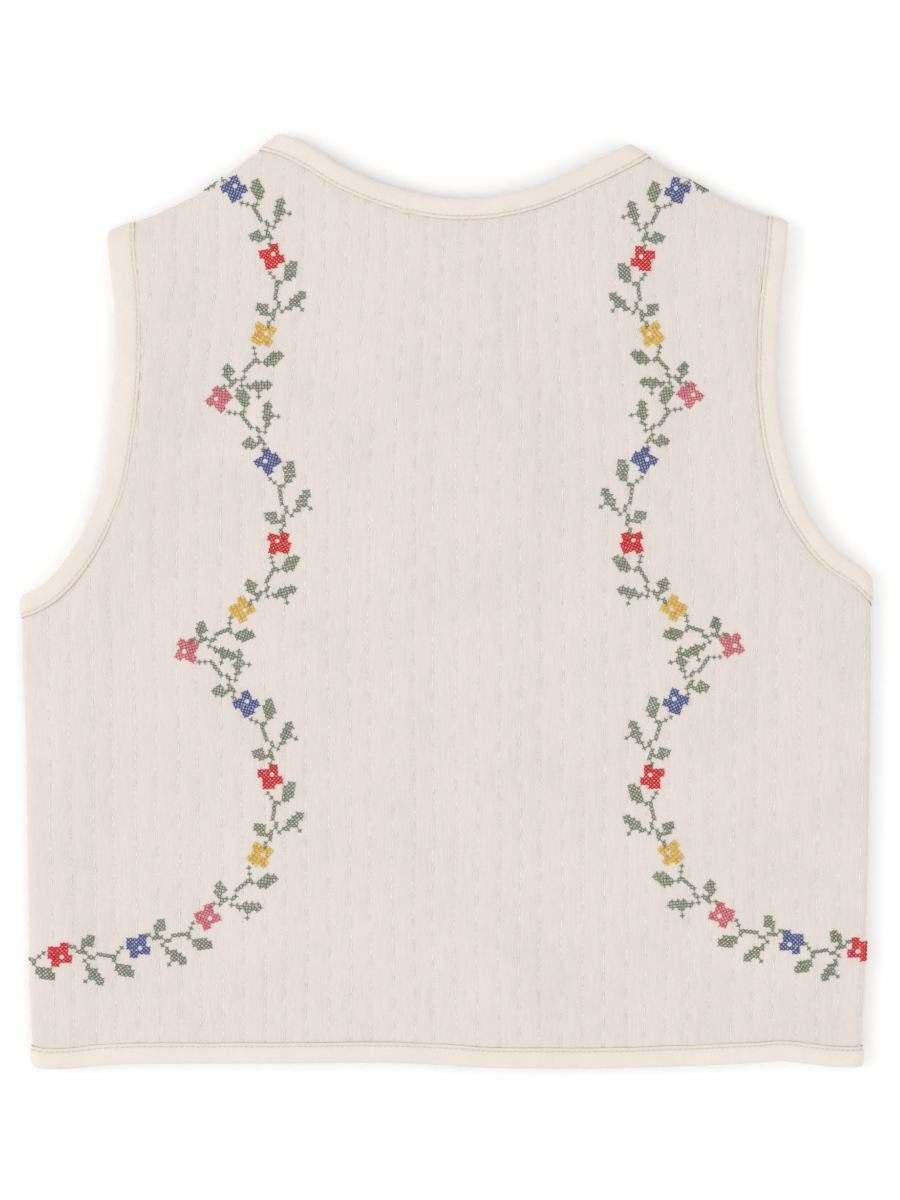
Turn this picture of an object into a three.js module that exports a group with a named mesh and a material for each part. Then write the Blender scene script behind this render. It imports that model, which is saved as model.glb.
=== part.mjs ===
// A child's quilted, embroidered waistcoat, laid flat on its front, so that its back shows.
//
// Millimetres, +Z up. It lies on the plane z = 0, with the hem towards -Y and the neck towards +Y.
// The garment is cut as flat panels: one back, and two fronts that meet edge to edge at the centre.
// The side and shoulder seams lie in the folds round the outline. Every other edge sits in a folded
// strip of binding.
//
// Points are set out on the flat pattern. lay() carries a pattern point to where the cloth lies: the
// back is the upper layer, the fronts are the lower one, and both turn a quarter circle at a fold to
// meet at the seam. The bindings come from the same pattern points as the cloth that they enclose,
// moved out from it.

import * as THREE from "three";

const { clamp, lerp, smoothstep } = THREE.MathUtils;

// ---- Driving dimensions ---------------------------------------------------------------------
const CLOTH = 1.6; // thickness of the quilted cloth
const STRIP = 1.0; // thickness of the doubled binding strip
const GAP = 0.3; // clearance between pieces that lie on or meet one another
const EDGE_GAP = 1.5; // from a cut edge to the fold of the strip round it
const LAYER_GAP = 0.6; // between the two layers' bindings where they lie on each other
const CENTRE_X = 4.8; // the fronts' meeting line
const FRONT_GAP = 1; // between the two front edges
const FRONT_NECK_Y = 131; // bottom of the front neck
const FRONT_ARMHOLE_SCOOP = 7; // how much deeper the fronts are scooped at the armhole than the back
const FRONT_HEM_RISE = 1.2; // how much shorter the fronts hang than the back, away from the sides

// Finished width of each binding.
const NECK_WIDTH = 9.3;
const HEM_WIDTH = 9.1;
const FRONT_EDGE_WIDTH = 9.1;
const ARMHOLE_WIDTH = {
  left: { underarm: 9, shoulder: 12 },
  right: { underarm: 8.8, shoulder: 8.8 },
};

// The folds at the side and shoulder seams.
const BOUND = CLOTH / 2 + GAP + STRIP; // half the thickness of a bound edge
const FOLD_R = BOUND + LAYER_GAP / 2; // radius of the cloth's middle surface
const FOLD_Z = BOUND + FOLD_R; // height of the fold's axis above the table
const FOLD_ARC = (Math.PI / 2) * FOLD_R; // cloth used up by each layer's quarter turn
const SEAM_OUT = FOLD_ARC - FOLD_R - CLOTH / 2; // from the fold's outline out to the seam, on the pattern

// How the layers settle away from their thick edges: the drop, and the band over which it comes in.
const FRONT_DROP = BOUND - CLOTH / 2; // the fronts come down onto the table
const BACK_DROP = 3.5;
const BACK_HELD_UP = 0.55; // share of the back's drop that the edges beneath it take away
const LEVEL_BAND = 13;
const DROP_BAND = 32;

// How finely the pieces are divided.
const FOLD_STEPS = 3; // over each layer's quarter turn
const FOLD_REACH = 1.15 * FOLD_ARC;
const SKEW_BAND = 12; // over which a binding's section swings from along the seam to square to the edge
const FLAT_ROW = 12; // a row of points that keeps the cloth level as far in as the bindings reach
const SIDE_STEPS = 5;
const ARMHOLE_STEPS = 8;
const SHOULDER_STEPS = 2;
const NECK_STEPS = 7;
const STRIP_STEP = { neck: 14, hem: 26, armhole: 13, frontEdge: 70 };
const SAMPLES = 120;

// ---- The outline, as tables of points -------------------------------------------------------
const table = (...rows) => rows.map(([x, y]) => new THREE.Vector2(x, y));

// Where the cloth folds round from back to front. Each line runs on past the end of its seam.
const SIDE_LEFT = table(
  [-180.2, -212], [-182.4, -190], [-183.5, -158], [-184.9, -66], [-186.4, -26], [-186, 14],
);
const SIDE_RIGHT = table(
  [182.4, -212], [183.4, -185], [184.8, -158], [186.6, -72], [187.2, -20], [186.2, 24],
);
const SHOULDER_LEFT = table(
  [-158, 157.6], [-142, 163.8], [-125.8, 170.8], [-108.2, 179.3], [-92, 190.6], [-80, 199.2],
  [-68, 207.8], [-50, 220.7],
);
const SHOULDER_RIGHT = table(
  [60, 212.4], [72, 205.2], [85, 197.4], [93, 192.6], [105.6, 185.8], [118, 179], [133.8, 171.8],
  [158, 162.8],
);

// Finished edges of the back, between the folds.
const NECK_BACK = table(
  [-65.8, 202.4], [-55.4, 196.9], [-44.4, 190.1], [-27.7, 183], [-10, 178.2], [6.2, 176.3],
  [23.8, 177.8], [41.4, 182.2], [59, 190], [72.6, 196.4],
);
const ARMHOLE_LEFT = table(
  [-178.6, 5.9], [-170.7, 13.2], [-161.5, 26.4], [-155.3, 39.6], [-150.9, 52.8], [-147.4, 75],
  [-145.8, 95], [-145.2, 115], [-146.1, 132], [-148.3, 152],
);
const ARMHOLE_RIGHT = table(
  [181.5, 15.2], [173.6, 20.2], [166, 28], [158.4, 39.6], [152.7, 52.8], [147.6, 74],
  [145.6, 95], [145.8, 115], [147, 132], [149.3, 151],
);
const HEM = table(
  [-176, -206.2], [-165, -205.9], [-152, -204.6], [-135, -203.8], [-100, -203.7], [-64, -203.6],
  [-33, -203.3], [-3, -204.2], [20, -205.6], [46, -205.9], [75, -205.7], [112, -204.6], [138, -203.3],
  [148, -202.6], [165, -204.6], [177, -205.4],
);

// Finished edges of the front neck, between the fold and the front edge's binding.
const NECK_FRONT_LEFT = table([-71.5, 190], [-65, 170], [-50, 149.5], [-29, 135.5]);
const NECK_FRONT_RIGHT = table([80.5, 188], [74.5, 169], [60, 149], [38.6, 135.3]);

// Where the finished edges cross the seams.
const HEM_AT_LEFT_Y = -205.2;
const HEM_AT_RIGHT_Y = -205.2;
const UNDERARM_LEFT_Y = 1.6;
const UNDERARM_RIGHT_Y = 10;
const ARM_TIP_LEFT_X = -148.6;
const ARM_TIP_RIGHT_X = 150.4;
const NECK_TIP_LEFT_X = -73.2;
const NECK_TIP_RIGHT_X = 80.8;

// ---- Curves ---------------------------------------------------------------------------------
const smooth = (points) => new THREE.SplineCurve(points).getSpacedPoints(SAMPLES);

/** One coordinate of a curve where the other one has a given value. */
function reading(points, from, to) {
  const sorted = [...points].sort((a, b) => a[from] - b[from]);
  return (value) => {
    const inside = clamp(value, sorted[0][from], sorted.at(-1)[from]);
    const next = Math.max(1, sorted.findIndex((p) => p[from] >= inside));
    const [a, b] = [sorted[next - 1], sorted[next]];
    return lerp(a[to], b[to], (inside - a[from]) / (b[from] - a[from]));
  };
}

const foldLeft = reading(smooth(SIDE_LEFT), "y", "x");
const foldRight = reading(smooth(SIDE_RIGHT), "y", "x");
const foldTopLeft = reading(smooth(SHOULDER_LEFT), "x", "y");
const foldTopRight = reading(smooth(SHOULDER_RIGHT), "x", "y");
const foldTop = (x) => (x < CENTRE_X ? foldTopLeft(x) : foldTopRight(x));

const REACH = 2;

/** Unit vector along a shoulder's fold, towards +X. */
function alongShoulder(x) {
  return new THREE.Vector2(2 * REACH, foldTop(x + REACH) - foldTop(x - REACH)).normalize();
}

/** Unit vector along a side's fold, towards +Y. */
function alongSide(fold, y) {
  return new THREE.Vector2(fold(y + REACH) - fold(y - REACH), 2 * REACH).normalize();
}

// The seams on the pattern.
const seamLeft = (y) => foldLeft(y) - SEAM_OUT;
const seamRight = (y) => foldRight(y) + SEAM_OUT;
const seamTop = (x) => foldTop(x) + SEAM_OUT / alongShoulder(x).x;
const onLeftSeam = (y) => new THREE.Vector2(seamLeft(y), y);
const onRightSeam = (y) => new THREE.Vector2(seamRight(y), y);
const onTopSeam = (x) => new THREE.Vector2(x, seamTop(x));

// ---- The finished edges, layer by layer -----------------------------------------------------
const FRONT_EDGE_LEFT_X = CENTRE_X - FRONT_GAP / 2;
const FRONT_EDGE_RIGHT_X = CENTRE_X + FRONT_GAP / 2;
const BUTT = FRONT_EDGE_WIDTH + GAP; // from a front edge to where the hem and neck bindings stop

const hemBack = smooth([onLeftSeam(HEM_AT_LEFT_Y), ...HEM, onRightSeam(HEM_AT_RIGHT_Y)]);
const neckBack = smooth([onTopSeam(NECK_TIP_LEFT_X), ...NECK_BACK, onTopSeam(NECK_TIP_RIGHT_X)]);
const armholeLeftBack = smooth([
  onLeftSeam(UNDERARM_LEFT_Y), ...ARMHOLE_LEFT, onTopSeam(ARM_TIP_LEFT_X),
]);
const armholeRightBack = smooth([
  onRightSeam(UNDERARM_RIGHT_Y), ...ARMHOLE_RIGHT, onTopSeam(ARM_TIP_RIGHT_X),
]);

const neckFrontLeft = smooth([
  onTopSeam(NECK_TIP_LEFT_X), ...NECK_FRONT_LEFT,
  new THREE.Vector2(FRONT_EDGE_LEFT_X - BUTT, FRONT_NECK_Y),
]);
const neckFrontRight = smooth([
  onTopSeam(NECK_TIP_RIGHT_X), ...NECK_FRONT_RIGHT,
  new THREE.Vector2(FRONT_EDGE_RIGHT_X + BUTT, FRONT_NECK_Y),
]);

/** An armhole's edge on the front: scooped towards the middle, by most halfway up. */
const scooped = (edge, towardsMiddle) =>
  edge.map(({ x, y }, i) => {
    const depth = FRONT_ARMHOLE_SCOOP * Math.sin((Math.PI * i) / SAMPLES) ** 2;
    return new THREE.Vector2(x + towardsMiddle * depth, y);
  });
const armholeLeftFront = scooped(armholeLeftBack, 1);
const armholeRightFront = scooped(armholeRightBack, -1);

const hemBackY = reading(hemBack, "x", "y");

/** The fronts' hem between two places. */
const hemFront = (fromX, toX) =>
  Array.from({ length: SAMPLES + 1 }, (_, i) => {
    const x = lerp(fromX, toX, i / SAMPLES);
    const fromSide = Math.min(x - hemBack[0].x, hemBack.at(-1).x - x);
    return new THREE.Vector2(x, hemBackY(x) + FRONT_HEM_RISE * smoothstep(fromSide, 10, 45));
  });
const hemFrontLeft = hemFront(hemBack[0].x, FRONT_EDGE_LEFT_X - BUTT);
const hemFrontRight = hemFront(FRONT_EDGE_RIGHT_X + BUTT, hemBack.at(-1).x);

const frontEdge = (x, hem) => [new THREE.Vector2(x, hem.y), new THREE.Vector2(x, FRONT_NECK_Y)];
const frontEdgeLeft = frontEdge(FRONT_EDGE_LEFT_X, hemFrontLeft.at(-1));
const frontEdgeRight = frontEdge(FRONT_EDGE_RIGHT_X, hemFrontRight[0]);

// ---- Laying the cloth -----------------------------------------------------------------------
/** 0 near the given edges, where the cloth is held level, and 1 well away from all of them. */
function settled(edges, x, y) {
  return edges.reduce((share, edge) => {
    const away = Math.min(...edge.map((p) => Math.hypot(p.x - x, p.y - y)));
    return share * smoothstep(away, LEVEL_BAND, LEVEL_BAND + DROP_BAND);
  }, 1);
}

const FOLDS = [SIDE_LEFT, SIDE_RIGHT, SHOULDER_LEFT, SHOULDER_RIGHT].map(smooth);
const BACK_EDGES = [...FOLDS, armholeLeftBack, armholeRightBack, neckBack, hemBack];
const OPENING_EDGES = [smooth(frontEdgeLeft), smooth(frontEdgeRight), neckFrontLeft, neckFrontRight];
const FRONT_EDGES = [
  ...FOLDS, armholeLeftFront, armholeRightFront, hemFrontLeft, hemFrontRight, ...OPENING_EDGES,
];

const FRONT = {
  layer: -1,
  drop: (x, y) => FRONT_DROP * settled(FRONT_EDGES, x, y),
};
const BACK = {
  layer: 1,
  drop: (x, y) => {
    const heldUp = BACK_HELD_UP * (1 - settled(OPENING_EDGES, x, y));
    return BACK_DROP * settled(BACK_EDGES, x, y) * (1 - heldUp);
  },
};

/**
 * A quarter turn of cloth, for a point at a distance from the seam on the pattern: how far the point
 * moves in towards the garment's middle, and how far it stands from the height of the fold's axis.
 */
function turn(fromSeam) {
  if (fromSeam >= FOLD_ARC) return { inward: 0, rise: FOLD_R };
  const angle = fromSeam / FOLD_R;
  return { inward: FOLD_ARC - fromSeam - FOLD_R * Math.cos(angle), rise: FOLD_R * Math.sin(angle) };
}

/** Where a layer's middle surface lies for a pattern point. */
function lay(cut, x, y) {
  const along = alongShoulder(x);
  const left = turn(x - seamLeft(y));
  const right = turn(seamRight(y) - x);
  const top = turn((seamTop(x) - y) * along.x);
  const rise = Math.min(left.rise, right.rise, top.rise);
  return new THREE.Vector3(
    x + left.inward - right.inward + top.inward * along.y,
    y - top.inward * along.x,
    FOLD_Z + cut.layer * rise - cut.drop(x, y),
  );
}

/** A pattern point of a layer, moved out of the cloth by a height. */
function raised(cut, { x, y }, height) {
  const step = 0.2;
  const alongX = lay(cut, x + step, y).sub(lay(cut, x - step, y));
  const alongY = lay(cut, x, y + step).sub(lay(cut, x, y - step));
  const outward = alongX.cross(alongY).multiplyScalar(cut.layer).normalize();
  return lay(cut, x, y).addScaledVector(outward, height);
}

// ---- Runs of edge ---------------------------------------------------------------------------
// A run follows one finished edge of one layer, with the cloth on the left of the fronts' runs and on
// the right of the back's, so that a strip passes from one to the other at a fold.
function makeRun(cut, edge, startAcross, endAcross) {
  const curve = new THREE.SplineCurve(edge);
  return { cut, curve, length: curve.getLength(), startAcross, endAcross };
}

/** Pattern point at a depth in from a run's edge: square to the edge, but along the seam near a fold. */
function inset(run, s, depth) {
  const share = clamp(s / run.length, 0, 1);
  const tangent = run.curve.getTangentAt(share);
  const square = new THREE.Vector2(-tangent.y, tangent.x).multiplyScalar(-run.cut.layer);
  const startShare = 1 - smoothstep(s, FOLD_REACH, FOLD_REACH + SKEW_BAND);
  const endShare = 1 - smoothstep(run.length - s, FOLD_REACH, FOLD_REACH + SKEW_BAND);
  const across = square.clone().lerp(run.startAcross, startShare).lerp(run.endAcross, endShare).normalize();
  return run.curve.getPointAt(share).addScaledVector(across, depth / across.dot(square));
}

/** Distances along a length: close together over a fold at either end, and even in between. */
function divide(length, between, foldAtStart, foldAtEnd) {
  const overFold = Array.from({ length: FOLD_STEPS }, (_, i) => ((i + 1) * FOLD_REACH) / FOLD_STEPS);
  const near = [...overFold, FLAT_ROW];
  const start = foldAtStart ? near : [];
  const end = foldAtEnd ? near.map((s) => length - s).reverse() : [];
  const [from, to] = [start.at(-1) ?? 0, end[0] ?? length];
  const middle = Array.from({ length: between - 1 }, (_, i) => lerp(from, to, (i + 1) / between));
  return [0, ...start, ...middle, ...end, length];
}

const UP = new THREE.Vector2(0, 1);
const DOWN = new THREE.Vector2(0, -1);
const LEFT = new THREE.Vector2(-1, 0);
const RIGHT = new THREE.Vector2(1, 0);
const FROM_HEM_LEFT = alongSide(foldLeft, HEM_AT_LEFT_Y);
const FROM_HEM_RIGHT = alongSide(foldRight, HEM_AT_RIGHT_Y);
const FROM_UNDERARM_LEFT = alongSide(foldLeft, UNDERARM_LEFT_Y).negate();
const FROM_UNDERARM_RIGHT = alongSide(foldRight, UNDERARM_RIGHT_Y).negate();
const FROM_NECK_LEFT = alongShoulder(NECK_TIP_LEFT_X).negate();
const FROM_NECK_RIGHT = alongShoulder(NECK_TIP_RIGHT_X);
const FROM_ARM_LEFT = alongShoulder(ARM_TIP_LEFT_X);
const FROM_ARM_RIGHT = alongShoulder(ARM_TIP_RIGHT_X).negate();

const reversed = (edge) => [...edge].reverse();

const RUNS = {
  neckFrontLeft: makeRun(FRONT, reversed(neckFrontLeft), DOWN, FROM_NECK_LEFT),
  neckBack: makeRun(BACK, neckBack, FROM_NECK_LEFT, FROM_NECK_RIGHT),
  neckFrontRight: makeRun(FRONT, neckFrontRight, FROM_NECK_RIGHT, DOWN),
  armholeLeftBack: makeRun(BACK, armholeLeftBack, FROM_UNDERARM_LEFT, FROM_ARM_LEFT),
  armholeLeftFront: makeRun(FRONT, reversed(armholeLeftFront), FROM_ARM_LEFT, FROM_UNDERARM_LEFT),
  armholeRightFront: makeRun(FRONT, armholeRightFront, FROM_UNDERARM_RIGHT, FROM_ARM_RIGHT),
  armholeRightBack: makeRun(BACK, reversed(armholeRightBack), FROM_ARM_RIGHT, FROM_UNDERARM_RIGHT),
  hemFrontRight: makeRun(FRONT, hemFrontRight, UP, FROM_HEM_RIGHT),
  hemBack: makeRun(BACK, reversed(hemBack), FROM_HEM_RIGHT, FROM_HEM_LEFT),
  hemFrontLeft: makeRun(FRONT, hemFrontLeft, FROM_HEM_LEFT, UP),
  frontEdgeLeft: makeRun(FRONT, frontEdgeLeft, LEFT, LEFT),
  frontEdgeRight: makeRun(FRONT, reversed(frontEdgeRight), RIGHT, RIGHT),
};

// ---- Meshes ---------------------------------------------------------------------------------
const CLOTH_MATERIAL = new THREE.MeshStandardMaterial({ color: 0xe7e0da, roughness: 0.95, metalness: 0 });
const STRIP_MATERIAL = new THREE.MeshStandardMaterial({ color: 0xeae1d9, roughness: 0.92, metalness: 0 });

/** A named mesh from points and triangles, with its faces turned to point out. */
function closedMesh(name, points, triangles, material) {
  const volume = triangles.reduce((sum, [a, b, c]) => {
    return sum + points[a].dot(points[b].clone().cross(points[c]));
  }, 0);
  const facing = volume > 0 ? triangles : triangles.map(([a, b, c]) => [a, c, b]);
  const geometry = new THREE.BufferGeometry().setFromPoints(points).setIndex(facing.flat());
  geometry.computeVertexNormals();
  const mesh = new THREE.Mesh(geometry, material);
  mesh.name = name;
  return mesh;
}

/** The two triangles between neighbouring places on two lines of points. */
const quad = (a, b, c, d) => [[a, b, c], [a, c, d]];

// ---- The panels -----------------------------------------------------------------------------
const CUT_DEPTH = STRIP + EDGE_GAP; // from a finished edge to the cloth's cut edge inside the strip

/** A run's cut edge, between a number of steps. */
function cutEdge(run, between, foldAtStart, foldAtEnd) {
  return divide(run.length, between, foldAtStart, foldAtEnd).map((s) => inset(run, s, CUT_DEPTH));
}

/** Joins lines of points end to end; a shared end is kept once. */
const chain = (first, ...rest) => [...first, ...rest.flatMap((line) => line.slice(1))];

/** A side seam from the hem to the underarm. */
function sideSeam(onSeam, fromY, toY) {
  const rowY = fromY + FLAT_ROW;
  const above = Array.from({ length: SIDE_STEPS + 1 }, (_, i) => onSeam(lerp(rowY, toY, i / SIDE_STEPS)));
  return [onSeam(fromY), ...above];
}

/** A shoulder seam from the armhole to the neck. */
function shoulderSeam(fromX, toX) {
  const width = Math.abs(toX - fromX);
  return divide(width, SHOULDER_STEPS, true, false).map((s) => onTopSeam(lerp(fromX, toX, s / width)));
}

/** How far along, from 0 to 1, each point of two facing lines lies, on average. */
function shares(line, facing) {
  const run = (points) => {
    const sums = [0];
    points.slice(1).forEach((p, i) => sums.push(sums[i] + p.distanceTo(points[i])));
    return sums.map((sum) => sum / sums.at(-1));
  };
  const [a, b] = [run(line), run(facing)];
  return a.map((share, i) => (share + b[i]) / 2);
}

/** Pattern points over a patch with four edges; bottom and top run in +X, left and right in +Y. */
function patch({ bottom, top, left, right }) {
  const [us, vs] = [shares(bottom, top), shares(left, right)];
  const mix = (p, q, t) => p.clone().lerp(q, t);
  return vs.map((v, j) =>
    us.map((u, i) => {
      const upright = mix(bottom[i], top[i], v);
      const level = mix(left[j], right[j], u);
      const corners = mix(mix(bottom[0], bottom.at(-1), u), mix(top[0], top.at(-1), u), v);
      return upright.add(level).sub(corners);
    }),
  );
}

/** Keeps a pattern point half a gap clear of the seams. */
function clearOfSeams({ x, y }) {
  const half = GAP / 2;
  const clearX = clamp(x, seamLeft(y) + half, seamRight(y) - half);
  return new THREE.Vector2(clearX, Math.min(y, seamTop(clearX) - half / alongShoulder(clearX).x));
}

function panel(name, cut, edges) {
  const lattice = patch(edges).map((row) => row.map(clearOfSeams));
  const [rows, columns] = [lattice.length, lattice[0].length];
  const faces = [1, -1].map((side) => lattice.flat().map((p) => raised(cut, p, (side * CLOTH) / 2)));
  const at = (face, j, i) => face * rows * columns + j * columns + i;
  const [lastRow, lastColumn] = [rows - 1, columns - 1];

  const triangles = [];
  for (let j = 0; j < lastRow; j++) {
    for (let i = 0; i < lastColumn; i++) {
      triangles.push(...quad(at(0, j, i), at(0, j, i + 1), at(0, j + 1, i + 1), at(0, j + 1, i)));
      triangles.push(...quad(at(1, j, i), at(1, j + 1, i), at(1, j + 1, i + 1), at(1, j, i + 1)));
    }
  }
  for (let i = 0; i < lastColumn; i++) {
    const next = i + 1;
    triangles.push(...quad(at(0, 0, i), at(1, 0, i), at(1, 0, next), at(0, 0, next)));
    const [near, far] = [at(0, lastRow, i), at(1, lastRow, i)];
    triangles.push(...quad(near, at(0, lastRow, next), at(1, lastRow, next), far));
  }
  for (let j = 0; j < lastRow; j++) {
    const [next, end] = [j + 1, lastColumn];
    triangles.push(...quad(at(0, j, 0), at(0, next, 0), at(1, next, 0), at(1, j, 0)));
    triangles.push(...quad(at(0, j, end), at(1, j, end), at(1, next, end), at(0, next, end)));
  }
  return closedMesh(name, faces.flat(), triangles, CLOTH_MATERIAL);
}

const armhole = (run, fromUnderarm) => {
  const edge = cutEdge(run, ARMHOLE_STEPS, true, true);
  return fromUnderarm ? edge : edge.reverse();
};

function backEdges() {
  const armLeft = armhole(RUNS.armholeLeftBack, true);
  const armRight = armhole(RUNS.armholeRightBack, false);
  const neck = cutEdge(RUNS.neckBack, NECK_STEPS, true, true);
  const top = chain(
    shoulderSeam(armLeft.at(-1).x, neck[0].x),
    neck,
    shoulderSeam(armRight.at(-1).x, neck.at(-1).x).reverse(),
  );
  const hemSteps = top.length - 1 - 2 * (FOLD_STEPS + 1);
  const bottom = cutEdge(RUNS.hemBack, hemSteps, true, true).reverse();
  return {
    bottom,
    top,
    left: chain(sideSeam(onLeftSeam, bottom[0].y, armLeft[0].y), armLeft),
    right: chain(sideSeam(onRightSeam, bottom.at(-1).y, armRight[0].y), armRight),
  };
}

/** A straight front edge, in as many steps as the side seam and armhole facing it. */
function frontCut(x, fromY, toY, like) {
  return shares(like, like).map((share) => new THREE.Vector2(x, lerp(fromY, toY, share)));
}

function frontLeftEdges() {
  const x = FRONT_EDGE_LEFT_X - CUT_DEPTH;
  const arm = armhole(RUNS.armholeLeftFront, false);
  const neck = cutEdge(RUNS.neckFrontLeft, NECK_STEPS - 1, false, true).reverse();
  const shoulder = shoulderSeam(arm.at(-1).x, neck[0].x);
  const top = chain(shoulder, neck, [neck.at(-1), new THREE.Vector2(x, neck.at(-1).y)]);
  const hem = cutEdge(RUNS.hemFrontLeft, top.length - 3 - FOLD_STEPS, true, false);
  const bottom = chain(hem, [hem.at(-1), new THREE.Vector2(x, hem.at(-1).y)]);
  const left = chain(sideSeam(onLeftSeam, bottom[0].y, arm[0].y), arm);
  return { bottom, top, left, right: frontCut(x, bottom.at(-1).y, top.at(-1).y, left) };
}

function frontRightEdges() {
  const x = FRONT_EDGE_RIGHT_X + CUT_DEPTH;
  const arm = armhole(RUNS.armholeRightFront, true);
  const neck = cutEdge(RUNS.neckFrontRight, NECK_STEPS - 1, true, false).reverse();
  const shoulder = shoulderSeam(arm.at(-1).x, neck.at(-1).x).reverse();
  const top = chain([new THREE.Vector2(x, neck[0].y), neck[0]], neck, shoulder);
  const hem = cutEdge(RUNS.hemFrontRight, top.length - 3 - FOLD_STEPS, false, true);
  const bottom = chain([new THREE.Vector2(x, hem[0].y), hem[0]], hem);
  const right = chain(sideSeam(onRightSeam, bottom.at(-1).y, arm[0].y), arm);
  return { bottom, top, left: frontCut(x, bottom[0].y, top[0].y, right), right };
}

// ---- The bindings ---------------------------------------------------------------------------
/** The strip's section, as depths in from the finished edge and heights from the cloth's middle. */
function stripSection(width) {
  const inner = CLOTH / 2 + GAP;
  const corner = BOUND - 0.8 * STRIP;
  return [
    [width, BOUND], [STRIP, BOUND], [0, corner], [0, -corner], [STRIP, -BOUND], [width, -BOUND],
    [width, -inner], [STRIP, -inner], [STRIP, inner], [width, inner],
  ];
}

/** The strip's outline at a place on a run; widths are the finished widths at the run's two ends. */
function ring(run, s, [startWidth, endWidth]) {
  const section = stripSection(lerp(startWidth, endWidth, s / run.length));
  return section.map(([depth, height]) => raised(run.cut, inset(run, s, depth), height));
}

/** A strip over one or more runs, one after another; a closed strip ends where it began. */
function binding(name, step, parts, closed = false) {
  const rings = parts.flatMap(({ run, widths, folds: [foldAtStart, foldAtEnd] }, i) => {
    const between = Math.ceil(run.length / step);
    const places = divide(run.length, between, foldAtStart, foldAtEnd);
    const lastShared = closed && i === parts.length - 1;
    const own = places.slice(i === 0 ? 0 : 1, lastShared ? -1 : undefined);
    return own.map((s) => ring(run, s, widths));
  });
  const around = rings[0].length;
  const at = (r, k) => (r % rings.length) * around + (k % around);

  const triangles = [];
  for (let r = 0; r < (closed ? rings.length : rings.length - 1); r++) {
    for (let k = 0; k < around; k++) {
      triangles.push(...quad(at(r, k), at(r, k + 1), at(r + 1, k + 1), at(r + 1, k)));
    }
  }
  if (!closed) {
    const outline = stripSection(1 + 2 * STRIP).map(([depth, height]) => new THREE.Vector2(depth, height));
    const cap = THREE.ShapeUtils.triangulateShape(outline, []);
    const last = (rings.length - 1) * around;
    triangles.push(...faced(cap, outline, -1));
    triangles.push(...faced(cap, outline, 1).map((corners) => corners.map((k) => last + k)));
  }
  return closedMesh(name, rings.flat(), triangles, STRIP_MATERIAL);
}

/** Triangles of a flat outline, each wound to match the outline's own direction, or against it. */
function faced(cap, outline, direction) {
  const along = Math.sign(THREE.ShapeUtils.area(outline)) * direction;
  return cap.map(([a, b, c]) => {
    const own = THREE.ShapeUtils.area([outline[a], outline[b], outline[c]]);
    return own * along > 0 ? [a, b, c] : [a, c, b];
  });
}

const plain = (run, width, folds) => ({ run, widths: [width, width], folds });
const BOTH = [true, true];

function armholeBinding(name, first, second, { underarm, shoulder }) {
  const parts = [
    { run: first, widths: [underarm, shoulder], folds: BOTH },
    { run: second, widths: [shoulder, underarm], folds: BOTH },
  ];
  return binding(name, STRIP_STEP.armhole, parts, true);
}

// ---- The garment ----------------------------------------------------------------------------
const garment = new THREE.Group();
garment.add(
  panel("back", BACK, backEdges()),
  panel("front_left", FRONT, frontLeftEdges()),
  panel("front_right", FRONT, frontRightEdges()),
  binding("neck_binding", STRIP_STEP.neck, [
    plain(RUNS.neckFrontLeft, NECK_WIDTH, [false, true]),
    plain(RUNS.neckBack, NECK_WIDTH, BOTH),
    plain(RUNS.neckFrontRight, NECK_WIDTH, [true, false]),
  ]),
  binding("hem_binding", STRIP_STEP.hem, [
    plain(RUNS.hemFrontRight, HEM_WIDTH, [false, true]),
    plain(RUNS.hemBack, HEM_WIDTH, BOTH),
    plain(RUNS.hemFrontLeft, HEM_WIDTH, [true, false]),
  ]),
  armholeBinding(
    "armhole_binding_left", RUNS.armholeLeftBack, RUNS.armholeLeftFront, ARMHOLE_WIDTH.left,
  ),
  armholeBinding(
    "armhole_binding_right", RUNS.armholeRightFront, RUNS.armholeRightBack, ARMHOLE_WIDTH.right,
  ),
  binding("front_edge_binding_left", STRIP_STEP.frontEdge, [
    plain(RUNS.frontEdgeLeft, FRONT_EDGE_WIDTH, [false, false]),
  ]),
  binding("front_edge_binding_right", STRIP_STEP.frontEdge, [
    plain(RUNS.frontEdgeRight, FRONT_EDGE_WIDTH, [false, false]),
  ]),
);

const box = new THREE.Box3().setFromObject(garment, true);
const middle = box.getCenter(new THREE.Vector3());
garment.position.set(-middle.x, -middle.y, -box.min.z);

export default garment;
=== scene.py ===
"""A child's quilted waistcoat, laid flat on its front: its cloth, bindings, stitching and embroidery.

Lengths are millimetres on the garment's flat pattern, with the hem towards -Y and the neck towards +Y.
lay() carries a pattern point to where the cloth lies: the back is the upper layer (+1), the fronts are the
lower one (-1), and both turn a quarter circle at the side and shoulder folds to meet at the seam.
"""

import math

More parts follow.
